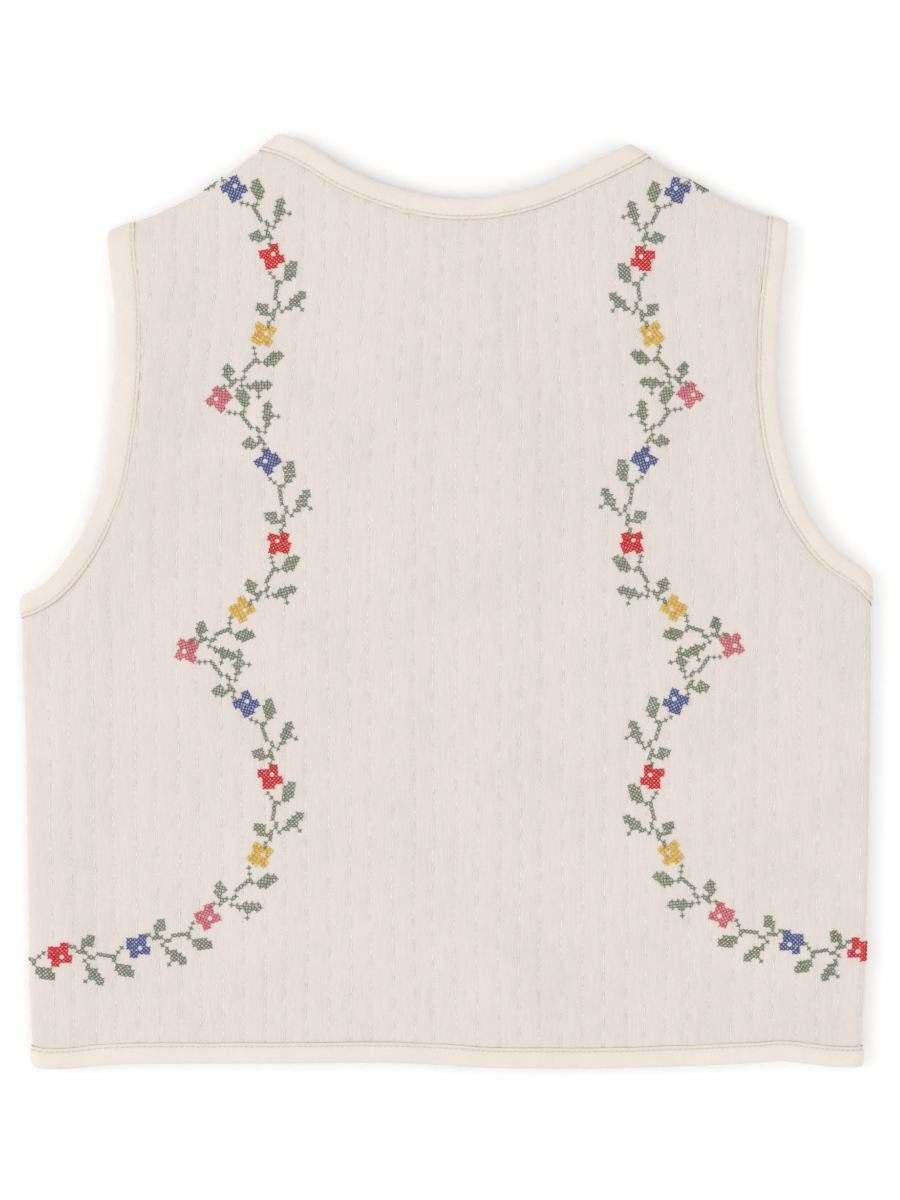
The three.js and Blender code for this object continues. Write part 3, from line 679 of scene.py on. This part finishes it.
# ---- Runs of edge ----
class Run:
    """One finished edge of one layer, with the direction across it at either end."""

    def __init__(self, layer, edge, start_across, end_across):
        self.layer, self.edge = layer, np.array(edge, float)
        self.length = distances(self.edge)[-1]
        self.start_across, self.end_across = np.array(start_across), np.array(end_across)

    def inset(self, s, depth):
        """Pattern points at depths in from the edge, at distances s along it."""
        s = np.clip(s, 0, self.length)
        point = at_distance(self.edge, s)
        reach = 2.5
        ahead = at_distance(self.edge, np.clip(s + reach, 0, self.length))
        behind = at_distance(self.edge, np.clip(s - reach, 0, self.length))
        tangent = unit(ahead - behind)
        square = np.stack([-tangent[..., 1], tangent[..., 0]], axis=-1) * -self.layer
        start = (1 - smoothstep(s, FOLD_REACH, FOLD_REACH + SKEW_BAND))[..., None]
        end = (1 - smoothstep(self.length - s, FOLD_REACH, FOLD_REACH + SKEW_BAND))[..., None]
        across = square + (self.start_across - square) * start
        across = unit(across + (self.end_across - across) * end)
        share = depth / np.sum(across * square, axis=-1)
        return point + across * share[..., None]


UP, DOWN, LEFT, RIGHT = (0.0, 1.0), (0.0, -1.0), (-1.0, 0.0), (1.0, 0.0)
FROM_HEM_LEFT = along_side(fold_left, HEM_CORNER_Y)
FROM_HEM_RIGHT = along_side(fold_right, HEM_CORNER_Y)
FROM_UNDERARM_LEFT = -along_side(fold_left, UNDERARM_LEFT_Y)
FROM_UNDERARM_RIGHT = -along_side(fold_right, UNDERARM_RIGHT_Y)
FROM_NECK_LEFT = -along_shoulder(np.float64(NECK_TIP_LEFT_X))
FROM_NECK_RIGHT = along_shoulder(np.float64(NECK_TIP_RIGHT_X))
FROM_ARM_LEFT = along_shoulder(np.float64(ARM_TIP_LEFT_X))
FROM_ARM_RIGHT = -along_shoulder(np.float64(ARM_TIP_RIGHT_X))

TOPSTITCH = 2.35  # length of a topstitch with its gap
TOPSTITCH_IN = 1.45  # from the strip's inner edge to its topstitching
TOPSTITCH_START, TOPSTITCH_SHARE = 0.18, 0.66  # of the pitch: before a stitch, and its own length
TOPSTITCH_RADIUS, TOPSTITCH_HEIGHT, TOPSTITCH_RISE = 0.14, 1.58, 0.16
ROUND_EDGE = 3.4  # strip that goes round the cloth's edge, between its two faces


def strip_profile(width, groove, swell):
    """The strip's section for arrays of stations: depths in from the finished edge, and heights."""
    upper = [
        (width - 0.3, 1.1), (width + 0.02, 1.22), (width + 0.08, 1.42), (width - 0.2, 1.64),
        (width - 0.75, 1.76), (width - TOPSTITCH_IN, 1.76 - groove), (width - 2.2, 1.9 + 0.3 * swell),
        (width - 3.4, 2.08 + swell), (width * 0.42, 2.18 + swell), (width * 0.22, 2.16 + swell),
        (0.95, 1.95 + 0.6 * swell), (0.35, 1.5), (0.04, 0.8),
    ]
    lower = [(depth, -height) for depth, height in reversed(upper)]
    inside = [(width - 0.5, -0.95), (1.2, -0.9), (1.2, 0.9), (width - 0.5, 0.95)]
    section = upper + [(-0.08, 0.0)] + lower + inside
    return [np.stack(np.broadcast_arrays(width, *part)[1:], axis=-1) for part in zip(*section)]


def ripple(place, length, seed):
    return waves(place, 0 * place, length, 1, seed)


def bump_at(s, at, half_width):
    return np.exp(-(((s - at) / half_width) ** 2))


def binding(name, widths, joins, runs, closed, seed, material, stitch_material):
    """A strip swept along runs, with its topstitching. widths are those at the first run's ends, which
    the next run takes up in turn; joins says how far along a run, by its number, the strip was pieced."""
    rings, strip_map, stitch_paths, ups = [], [], [], []
    total = 0.0
    for number, run in enumerate(runs):
        start_width, end_width = widths[::-1] if number % 2 else widths
        stitches = round(run.length / TOPSTITCH)
        pitch = run.length / stitches
        s = np.linspace(0, run.length, 2 * stitches + 1)
        if number > 0:
            s = s[1:]
        if closed and number == len(runs) - 1:
            s = s[:-1]
        place = s + total
        width = start_width + (end_width - start_width) * (s / run.length)
        width = width + 0.12 * ripple(place, 34, seed) + 0.05 * ripple(place, 6, seed + 1)
        hole = np.cos(2 * math.pi * s / pitch)
        swell = np.zeros(len(s))
        if number in joins:
            at = joins[number]
            width = width + 0.35 * bump_at(s, at, 1.6)
            swell = 0.3 * bump_at(s, at, 1.2) - 0.3 * bump_at(s, at + 2.4, 1.0)
        swell = swell + 0.10 * ripple(place, 15, seed + 2) + 0.05 * ripple(place, 5, seed + 3)
        depth, height = strip_profile(width, 0.2 + 0.1 * hole, swell)
        if run.layer == FRONT:
            height = np.where(height > BOUND, BOUND, height)
        around = depth.shape[1]
        points = run.inset(np.repeat(s, around), depth.ravel())
        rings.append(raised(run.layer, points[:, 0], points[:, 1], height.ravel()).reshape(-1, around, 3))
        inward = depth - width[:, None] + TOPSTITCH_IN
        # The first value marks the needle holes on the topstitch line, where the material paints shade; the
        # second marks the band from the topstitching to the strip's inner edge.
        strip_map.append(np.stack([
            np.where(np.abs(inward) < 0.01, np.clip(0.5 + 0.5 * hole[:, None], 0, 1), 0),
            smoothstep(inward, -0.1, 0.5),
            0 * inward,
        ], axis=-1).reshape(-1, 3))

        t = np.linspace(0, 1, 5)
        start = np.arange(stitches) * pitch + TOPSTITCH_START * pitch
        s = start[:, None] + TOPSTITCH_SHARE * pitch * t
        depth = start_width + (end_width - start_width) * s / run.length - TOPSTITCH_IN
        lift = TOPSTITCH_HEIGHT + TOPSTITCH_RISE * np.sin(math.pi * t)[None, :] + 0 * s
        points = run.inset(s, depth)
        stitch_paths.append(raised(run.layer, points[..., 0], points[..., 1], lift))
        middle = points[:, 2]
        ups.append(outward(run.layer, middle[:, 0], middle[:, 1]))
        total += run.length

    vertices = np.concatenate(rings)
    stations, around = vertices.shape[:2]
    r = np.arange(stations if closed else stations - 1)
    k = np.arange(around)
    r, k = (grid.ravel() for grid in np.meshgrid(r, k, indexing="ij"))
    r1, k1 = (r + 1) % stations, (k + 1) % around
    corners = r * around + k, r * around + k1, r1 * around + k1, r1 * around + k
    faces = np.stack(corners, axis=-1).tolist()
    if not closed:
        faces.append(list(range(around))[::-1])
        faces.append([(stations - 1) * around + n for n in range(around)])
    obj = make_object(
        name, vertices.reshape(-1, 3), faces, material, {"strip": np.concatenate(strip_map)},
    )
    stitching = threads(
        f"{name}_stitches", np.concatenate(stitch_paths), np.concatenate(ups), TOPSTITCH_RADIUS, 6,
        stitch_material,
    )
    flat = ((2 * np.mean([widths] * len(runs)) + ROUND_EDGE) * MM, total * MM)
    return obj, stitching, flat


# ---- Threads ----
def threads(name, paths, ups, radius, sides, material, flatten=0.8, ends=0.5):
    """Stitches as one mesh: paths is (stitch, point, xyz), in metres, and ups is out of the cloth."""
    count, points = paths.shape[:2]
    tangent = unit(np.gradient(paths, axis=1))
    side = unit(np.cross(tangent, np.broadcast_to(ups[:, None, :], tangent.shape)))
    up = np.cross(side, tangent)
    taper = np.ones(points)
    taper[0] = taper[-1] = ends
    angle = 2 * math.pi * np.arange(sides) / sides
    radii = (radius * MM * taper)[None, :, None, None]
    ring = side[:, :, None, :] * np.cos(angle)[None, None, :, None]
    ring = ring + flatten * up[:, :, None, :] * np.sin(angle)[None, None, :, None]
    vertices = (paths[:, :, None, :] + radii * ring).reshape(-1, 3)

    base = np.arange(count)[:, None, None] * points * sides + np.arange(points)[None, :, None] * sides
    ring_at = base[:, :-1]
    k = np.arange(sides)
    k1 = (k + 1) % sides
    quads = np.stack([ring_at + k, ring_at + k1, ring_at + sides + k1, ring_at + sides + k], axis=-1)
    first, last = base[:, 0] + k[::-1], base[:, -1] + k
    faces = quads.reshape(-1, 4).tolist() + first.tolist() + last.tolist()

    run = np.linalg.norm(np.diff(paths, axis=1), axis=2).cumsum(axis=1) / MM
    run = np.concatenate([np.zeros((count, 1)), run], axis=1)
    strand = np.stack(np.broadcast_arrays(
        run[:, :, None], np.cos(angle)[None, None, :], np.sin(angle)[None, None, :]
    ), axis=-1)
    return make_object(name, vertices, faces, material, {"strand": strand.reshape(-1, 3)})


def quilting(name, layer, depth_of, material, seed, sides):
    """The quilting stitches of one panel, along its lines."""
    rng = np.random.default_rng(seed)
    stitches = []
    for number, x0 in enumerate(LINE_X):
        close = number % 2 == 0
        pitch = QUILT_STITCH * (1.25 if close else 1.0)
        rows = np.arange(math.floor(QUILT_FROM_Y / pitch), math.ceil(QUILT_TO_Y / pitch))
        y = pitch * (rows + (rng.uniform(0, 1) if close else 0))
        length = pitch * (0.93 if close else 0.7)
        stitches.append(np.stack([np.full_like(y, x0), y, np.full_like(y, length)]))
    x0, y, length = np.concatenate(stitches, axis=1)[..., None]
    t = np.linspace(0, 1, 4)
    x0 = x0 + rng.uniform(-0.1, 0.1, x0.shape) * t
    y = y + length * (t - 0.5)
    x = line_place(x0, y)
    kept = ((in_from_seams(x, y) > 1.5) & (depth_of(x, y) > 7)).all(axis=1)
    x, y = x[kept], y[kept]
    lift = face_height(layer, x, y, depth_of) + np.array([-0.04, 0.17, 0.17, -0.04])
    ups = outward(layer, x[:, 1], y[:, 1])
    obj = threads(name, raised(layer, x, y, lift), ups, QUILT_RADIUS, sides, material, ends=0.55)
    return obj


# ---- The embroidery ----
def charted(chart, first_u, first_v):
    """The places of a chart's crosses, from the place of the first square in its first row."""
    return np.array([
        (first_u + column, first_v - row)
        for row, line in enumerate(chart)
        for column, mark in enumerate(line)
        if mark == "X"
    ], float)


def rotation(angle):
    return np.array([[math.cos(angle), math.sin(angle)], [-math.sin(angle), math.cos(angle)]])


def flower_crosses(x, y, hole_turn, mirrored):
    """Centres and turns of a flower's crosses."""
    cells = charted(FLOWER, -2.5, 2.5)
    if mirrored:
        cells[:, 0] *= -1
    turned = math.radians(hole_turn - (135 if mirrored else 45))
    return cells * CROSS @ rotation(turned) + (x, y), np.full(len(cells), turned)


def vine_crosses(start, end, mirrored, number):
    """Centres and turns of the crosses between two flowers, the first of them with this number."""
    start, end = np.array(start), np.array(end)
    span = np.linalg.norm(end - start)
    forward = (end - start) / span
    inner = np.array([-forward[1], forward[0]]) * (-1 if mirrored else 1)
    size = span / VINE_SPAN
    cells = charted(VINE, VINE_OUTER_U, VINE_FIRST_V)
    if number == CROWDED_AFTER:
        cells = cells[(cells[:, 0] < LEAF_U) | (cells[:, 1] > LEAF_V)]
    turned = (cells[:, 1] >= JOINT[1]) | (cells[:, 0] > JOINT[0])
    swing = math.radians(SWINGS.get(number, 0))
    cells[turned] = (cells[turned] - JOINT) @ rotation(swing) + JOINT
    turns = math.atan2(forward[1], forward[0]) + np.where(turned, swing if mirrored else -swing, 0)
    centres = start + cells[:, :1] * CROSS * inner + cells[:, 1:] * size * forward
    return centres, turns


def apart(centres, turns):
    """The crosses that don't lie over an earlier one."""
    kept = []
    for number, centre in enumerate(centres):
        if not kept or np.linalg.norm(centres[kept] - centre, axis=1).min() > 0.66 * CROSS:
            kept.append(number)
    return centres[kept], turns[kept]


def embroider():
    """Every cross of both vines, by colour: centres and turns."""
    work = {colour: [] for colour in FLOSS_RADIUS}
    for flowers, mirrored, before, after in (
        (LEFT_FLOWERS, False, LEFT_BEFORE, [LEFT_AFTER]),
        (RIGHT_FLOWERS, True, RIGHT_BEFORE, []),
    ):
        for number, flower in enumerate(flowers):
            colour = FLOWER_COLOURS[number % len(FLOWER_COLOURS)]
            work[colour].append(flower_crosses(*flower, mirrored))
        places = [before] + [(x, y) for x, y, _ in flowers] + after
        for number, (start, end) in enumerate(zip(places, places[1:])):
            work["green"].append(vine_crosses(start, end, mirrored, number))
    return {colour: apart(*map(np.concatenate, zip(*parts))) for colour, parts in work.items()}


def cross_stitches(colour, centres, turns, seed):
    """Crosses as two stitches each, the second lying over the first."""
    past = np.minimum(
        np.minimum(centres[:, 0] - seam_left(centres[:, 1]), seam_right(centres[:, 1]) - centres[:, 0]),
        (seam_top(centres[:, 0]) - centres[:, 1]) * along_shoulder(centres[:, 0])[:, 0],
    )
    centres, turns = centres[past > -WRAP_LIMIT], turns[past > -WRAP_LIMIT]
    rng = np.random.default_rng(seed)
    t = np.linspace(-1, 1, 5)
    paths, ups = [], []
    for leg, lift in ((math.pi / 4, 0.30), (-math.pi / 4, 0.58)):
        angle = turns + leg + rng.normal(0, 0.05, len(turns))
        half = CROSS / 2 * math.sqrt(2) * rng.uniform(0.9, 0.99, len(turns))
        middle = centres + rng.normal(0, 0.06, centres.shape)
        x = middle[:, :1] + (half * np.cos(angle))[:, None] * t
        y = middle[:, 1:] + (half * np.sin(angle))[:, None] * t
        height = face_height(BACK, x, y, depth_back).mean(axis=1, keepdims=True)
        height = height + np.array([-0.12, 0.75, 1.0, 0.75, -0.12]) * lift
        paths.append(raised(BACK, x, y, height))
        ups.append(outward(BACK, x[:, 2], y[:, 2]))
    obj = threads(
        f"embroidery_{colour}", np.concatenate(paths), np.concatenate(ups), FLOSS_RADIUS[colour], 6,
        thread_material(colour), flatten=0.85, ends=0.65,
    )
    return obj


# ---- Materials ----
class Nodes:
    """A material's node tree, with short calls for what the materials here need."""

    def __init__(self, name, roughness, sheen):
        self.material = bpy.data.materials.new(name)
        self.material.use_nodes = True
        self.tree = self.material.node_tree
        self.shader = self.tree.nodes["Principled BSDF"]
        self.put(self.shader, {"Roughness": roughness, "Specular IOR Level": 0.25})
        self.put(self.shader, {"Sheen Weight": sheen, "Sheen Roughness": 0.5})
        self.place = self.add("TexCoord", {}).outputs["Object"]

    def put(self, node, inputs):
        """Give a node's inputs their values, or join them to the sockets they come from."""
        for name, value in inputs.items():
            if isinstance(value, bpy.types.NodeSocket):
                self.tree.links.new(value, node.inputs[name])
            elif value is not None:
                node.inputs[name].default_value = value

    def add(self, kind, inputs, **settings):
        node = self.tree.nodes.new(f"ShaderNode{kind}")
        for name, value in settings.items():
            setattr(node, name, value)
        self.put(node, inputs)
        return node

    def math(self, operation, a, b=None, c=None):
        return self.add("Math", {0: a, 1: b, 2: c}, operation=operation).outputs[0]

    def attribute(self, name):
        vector = self.add("Attribute", {}, attribute_name=name).outputs["Vector"]
        return self.add("SeparateXYZ", {0: vector}).outputs

    def noise(self, scale, detail=2.0, roughness=0.5):
        """Noise whose features are about 1/scale metres, along each axis."""
        place = self.add("Mapping", {"Scale": scale, "Vector": self.place}).outputs[0]
        inputs = {"Scale": 1.0, "Detail": detail, "Roughness": roughness, "Vector": place}
        return self.add("TexNoise", inputs).outputs["Fac"]

    def rest(self, value):
        return self.math("SUBTRACT", 1.0, value)

    def ramp(self, factor, low, high, dark, light):
        """A colour between dark and light as the factor goes from low to high."""
        node = self.add("ValToRGB", {0: factor})
        first, last = node.color_ramp.elements
        first.position, last.position = low, high
        first.color, last.color = dark, light
        return node.outputs[0]

    def multiply(self, colour, factor_low, factor, tint=(1, 1, 1)):
        """The colour, darkened to factor_low of itself where the factor is 0."""
        shade = self.ramp(factor, 0, 1, tuple(factor_low * t for t in tint) + (1,), (1, 1, 1, 1))
        inputs = {"Factor": 1.0, 6: colour, 7: shade}
        return self.add("Mix", inputs, data_type="RGBA", blend_type="MULTIPLY").outputs[2]

    def bump(self, height, distance, strength=1.0, below=None):
        inputs = {"Strength": strength, "Distance": distance * MM, "Height": height, "Normal": below}
        return self.add("Bump", inputs).outputs[0]

    def finish(self, colour, normal):
        self.put(self.shader, {"Base Color": colour, "Normal": normal})
        return self.material


def tone(colour, factor):
    return tuple(min(1, c * factor) for c in colour[:3]) + (1.0,)


def woven(nodes, pitch):
    """Height of a plain weave with threads a pitch apart, in millimetres."""
    x, y, _ = nodes.add("SeparateXYZ", {0: nodes.place}).outputs
    rate = 2 * math.pi / (pitch * MM)
    across = nodes.math("SINE", nodes.math("MULTIPLY", x, rate))
    up = nodes.math("SINE", nodes.math("MULTIPLY", y, rate * 0.9))
    return nodes.math("MULTIPLY_ADD", nodes.math("MULTIPLY", across, up), 0.5, 0.5)


HOLE_RADIUS = 0.38


def cloth_material():
    nodes = Nodes("quilted cotton", 0.9, 0.22)
    number, stitch, outside = nodes.attribute("quilt")
    base = COLOURS["cloth"]
    mottle = nodes.noise((28, 22, 28), 4, 0.6)
    colour = nodes.ramp(mottle, 0.3, 0.7, tone(base, 0.972), tone(base, 1.02))
    fibres = nodes.noise((2600, 130, 900), 3, 0.6)
    colour = nodes.multiply(colour, 0.91, nodes.math("MULTIPLY_ADD", fibres, 1.9, -0.35))
    slubs = nodes.noise((900, 70, 500), 2, 0.5)
    colour = nodes.multiply(colour, 0.965, nodes.math("MULTIPLY_ADD", slubs, 3.0, -1.0))

    # Small shadows where the needle went in, along every second line.
    odd = nodes.math("FRACT", nodes.math("MULTIPLY_ADD", number, 0.5, 0.25))
    across = nodes.math("ABSOLUTE", nodes.math("SUBTRACT", odd, 0.75))
    from_line = nodes.math("MULTIPLY", across, 2 * CHANNEL)
    along = nodes.math("ABSOLUTE", nodes.math("SUBTRACT", nodes.math("FRACT", stitch), 0.5))
    from_hole = nodes.math("MULTIPLY", along, QUILT_STITCH)
    squares = nodes.math("ADD", nodes.math("POWER", from_line, 2.0), nodes.math("POWER", from_hole, 2.0))
    away = nodes.math("SQRT", squares)
    hole = nodes.math("SMOOTH_MIN", nodes.math("DIVIDE", away, HOLE_RADIUS), 1.0, 0.3)
    shade = nodes.math("MAXIMUM", hole, nodes.rest(outside))
    colour = nodes.multiply(colour, 0.935, shade, (1, 0.985, 0.97))

    weave = nodes.bump(woven(nodes, 0.42), 0.05)
    crinkle = nodes.bump(nodes.noise((420, 700, 400), 3, 0.55), 0.22, 0.8, weave)
    drawn = nodes.bump(nodes.noise((1500, 160, 600), 3, 0.55), 0.12, 0.9, crinkle)
    return nodes.finish(colour, drawn)


def strip_material():
    nodes = Nodes("binding cotton", 0.82, 0.18)
    base = COLOURS["binding"]
    mottle = nodes.noise((60, 60, 60), 3, 0.55)
    colour = nodes.ramp(mottle, 0.3, 0.7, tone(base, 0.965), tone(base, 1.015))
    fibres = nodes.noise((1100, 1100, 1100), 3, 0.6)
    colour = nodes.multiply(colour, 0.95, nodes.math("MULTIPLY_ADD", fibres, 1.8, -0.3))
    hole_shade, inner_band, _ = nodes.attribute("strip")
    # Painted shade in the needle holes along the topstitching.
    colour = nodes.multiply(colour, 0.88, nodes.rest(hole_shade), (1, 0.95, 0.91))
    colour = nodes.multiply(colour, 1.0, nodes.rest(inner_band), (1.0, 0.965, 0.94))
    weave = nodes.bump(woven(nodes, 0.34), 0.035)
    pucker = nodes.bump(nodes.noise((330, 330, 330), 3, 0.5), 0.3, 0.6, weave)
    return nodes.finish(colour, pucker)


def thread_material(name):
    nodes = Nodes(f"{name} thread", 0.62, 0.1)
    base = COLOURS[name]
    along, cosine, sine = nodes.attribute("strand")
    angle = nodes.math("MULTIPLY", nodes.math("ARCTAN2", sine, cosine), 2.0)
    twist = nodes.math("SINE", nodes.math("MULTIPLY_ADD", along, 6.5, angle))
    ply_relief_and_shade = nodes.math("MULTIPLY_ADD", twist, 0.5, 0.5)
    patch = nodes.noise((420, 420, 420), 3, 0.6)
    plain = name in ("white", "binding")
    depth = 0.06 if plain else 0.24
    colour = nodes.ramp(patch, 0.3, 0.72, tone(base, 1 - depth), tone(base, 1 + depth * 0.6))
    # Painted shade: the colour darkens in the grooves between the twisted plies, where the bump below
    # sinks.
    colour = nodes.multiply(colour, 0.97 if plain else 0.9, ply_relief_and_shade)
    strands = nodes.bump(ply_relief_and_shade, 0.09, 0.9)
    fuzz = nodes.bump(nodes.noise((3800, 3800, 3800), 2, 0.5), 0.06, 0.7, strands)
    return nodes.finish(colour, fuzz)


# ---- Camera, light and floor ----
VIEW_CENTRE_X = 1.76  # the pattern point in the middle of the picture, at y = 0
VIEW_HEIGHT = 528.0  # millimetres of the surface from the picture's bottom to its top
SURFACE_Z = 5.5
LENS, SENSOR = 85.0, 36.0
FLOOR_HALF, FLOOR_Z = 3.0, -0.15 * MM
WORLD_STRENGTH = 0.925


def add_camera():
    data = bpy.data.cameras.new("camera")
    data.lens, data.sensor_width, data.sensor_fit = LENS, SENSOR, "AUTO"
    data.clip_start, data.clip_end = 0.05, 20
    camera = bpy.data.objects.new("camera", data)
    bpy.context.scene.collection.objects.link(camera)
    away = VIEW_HEIGHT * LENS / SENSOR
    camera.location = Vector((VIEW_CENTRE_X + OFFSET[0], OFFSET[1], SURFACE_Z + away)) * MM
    bpy.context.scene.camera = camera


def add_area(name, location, size, power):
    data = bpy.data.lights.new(name, "AREA")
    data.shape, data.size, data.energy = "DISK", size, power
    lamp = bpy.data.objects.new(name, data)
    bpy.context.scene.collection.objects.link(lamp)
    lamp.location = location
    lamp.rotation_euler = (-Vector(location)).to_track_quat("-Z", "Y").to_euler()


def add_studio():
    scene = bpy.context.scene
    scene.view_settings.view_transform = "Standard"
    world = bpy.data.worlds.new("studio")
    world.use_nodes = True
    background = world.node_tree.nodes["Background"]
    background.inputs["Color"].default_value = (1, 1, 1, 1)
    background.inputs["Strength"].default_value = WORLD_STRENGTH
    scene.world = world
    add_area("key", (-1.8, 0.1, 1.45), 1.7, 14)
    add_area("fill", (1.4, -0.9, 1.6), 1.6, 6)

    mesh = bpy.data.meshes.new("floor")
    half = FLOOR_HALF
    corners = [(-half, -half, 0), (half, -half, 0), (half, half, 0), (-half, half, 0)]
    mesh.from_pydata(corners, [], [(0, 1, 2, 3)])
    floor = bpy.data.objects.new("floor", mesh)
    floor.location.z = FLOOR_Z
    nodes = Nodes("floor paper", 0.95, 0)
    speck = nodes.noise((300, 300, 300), 2, 0.5)
    paper = nodes.ramp(speck, 0.3, 0.7, (0.945, 0.945, 0.945, 1), (0.955, 0.955, 0.955, 1))
    floor.data.materials.append(nodes.finish(paper, nodes.bump(speck, 0.01)))
    scene.collection.objects.link(floor)
    return floor


add_camera()
floor = add_studio()

# ---- The garment ----
CLOTH_FINISH, STRIP_FINISH = cloth_material(), strip_material()
WHITE_THREAD, STRIP_THREAD = thread_material("white"), thread_material("binding")
FRONT_STEPS = np.array([0.0, 0.12, 0.5, 0.88])
EDGE_ROOM = 0.2

# Each panel: its layer, its depth field, its least and greatest x, the step between its rows, its rows
# above the body, its columns within a channel, and the sides of its quilting thread.
PANELS = {
    "back": (BACK, depth_back, -FAR, FAR, 2.4, 26, IN_CHANNEL, 6),
    "front_left": (
        FRONT, depth_front_left, -FAR, FRONT_EDGE_LEFT_X - TRIM_DEPTH - EDGE_ROOM, 3.4, 18, FRONT_STEPS, 4,
    ),
    "front_right": (
        FRONT, depth_front_right, FRONT_EDGE_RIGHT_X + TRIM_DEPTH + EDGE_ROOM, FAR, 3.4, 18, FRONT_STEPS, 4,
    ),
}
cloths, quiltings = {}, {}
for node, (layer, depth_of, *lattice, _) in PANELS.items():
    cloths[node] = panel(f"{node}_cloth", layer, depth_of, *lattice, CLOTH_FINISH)
    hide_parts(node)
for number, (node, (layer, depth_of, *_, sides)) in enumerate(PANELS.items()):
    quiltings[node] = quilting(f"{node}_quilting", layer, depth_of, WHITE_THREAD, 51 + number, sides)
embroidery = [
    cross_stitches(colour, centres, turns, 60 + number)
    for number, (colour, (centres, turns)) in enumerate(embroider().items())
]

# Each strip: its widths, where it was pieced, and its runs.
BINDINGS = {
    "neck_binding": (NECK_WIDTHS, {1: 62.0}, [
        Run(FRONT, NECK_FRONT_LEFT_EDGE[::-1], DOWN, FROM_NECK_LEFT),
        Run(BACK, NECK_BACK_EDGE, FROM_NECK_LEFT, FROM_NECK_RIGHT),
        Run(FRONT, NECK_FRONT_RIGHT_EDGE, FROM_NECK_RIGHT, DOWN),
    ]),
    "hem_binding": (HEM_WIDTHS, {}, [
        Run(FRONT, HEM_FRONT_RIGHT, UP, FROM_HEM_RIGHT),
        Run(BACK, HEM_BACK[::-1], FROM_HEM_RIGHT, FROM_HEM_LEFT),
        Run(FRONT, HEM_FRONT_LEFT, FROM_HEM_LEFT, UP),
    ]),
    "armhole_binding_left": (ARMHOLE_LEFT_WIDTHS, {1: 14.0}, [
        Run(BACK, ARM_LEFT_BACK, FROM_UNDERARM_LEFT, FROM_ARM_LEFT),
        Run(FRONT, ARM_LEFT_FRONT[::-1], FROM_ARM_LEFT, FROM_UNDERARM_LEFT),
    ]),
    "armhole_binding_right": (ARMHOLE_RIGHT_WIDTHS, {0: 12.0}, [
        Run(FRONT, ARM_RIGHT_FRONT, FROM_UNDERARM_RIGHT, FROM_ARM_RIGHT),
        Run(BACK, ARM_RIGHT_BACK[::-1], FROM_ARM_RIGHT, FROM_UNDERARM_RIGHT),
    ]),
    "front_edge_binding_left": (FRONT_EDGE_WIDTHS, {}, [Run(FRONT, FRONT_EDGE_LEFT, LEFT, LEFT)]),
    "front_edge_binding_right": (FRONT_EDGE_WIDTHS, {}, [Run(FRONT, FRONT_EDGE_RIGHT[::-1], RIGHT, RIGHT)]),
}
for number, (node, (widths, joins, runs)) in enumerate(BINDINGS.items()):
    label = node.replace("_binding", "")
    strip, stitching, flat = binding(
        f"{label}_strip", widths, joins, runs, "armhole" in node, 70 + 5 * number, STRIP_FINISH,
        STRIP_THREAD,
    )
    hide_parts(node)
    sides = [side for side in ("left", "right") if side in node] or ["left", "right"]
    beneath = [] if "front_edge" in node else ["back_cloth"]
    beneath += [f"front_{side}_cloth" for side in sides]

for node, rests_on, sewn_on in (
    ("front_left", [floor], []),
    ("front_right", [floor], []),
    ("back", ["front_left_cloth", "front_right_cloth"], embroidery),
):
    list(sewn_on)
    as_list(rests_on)
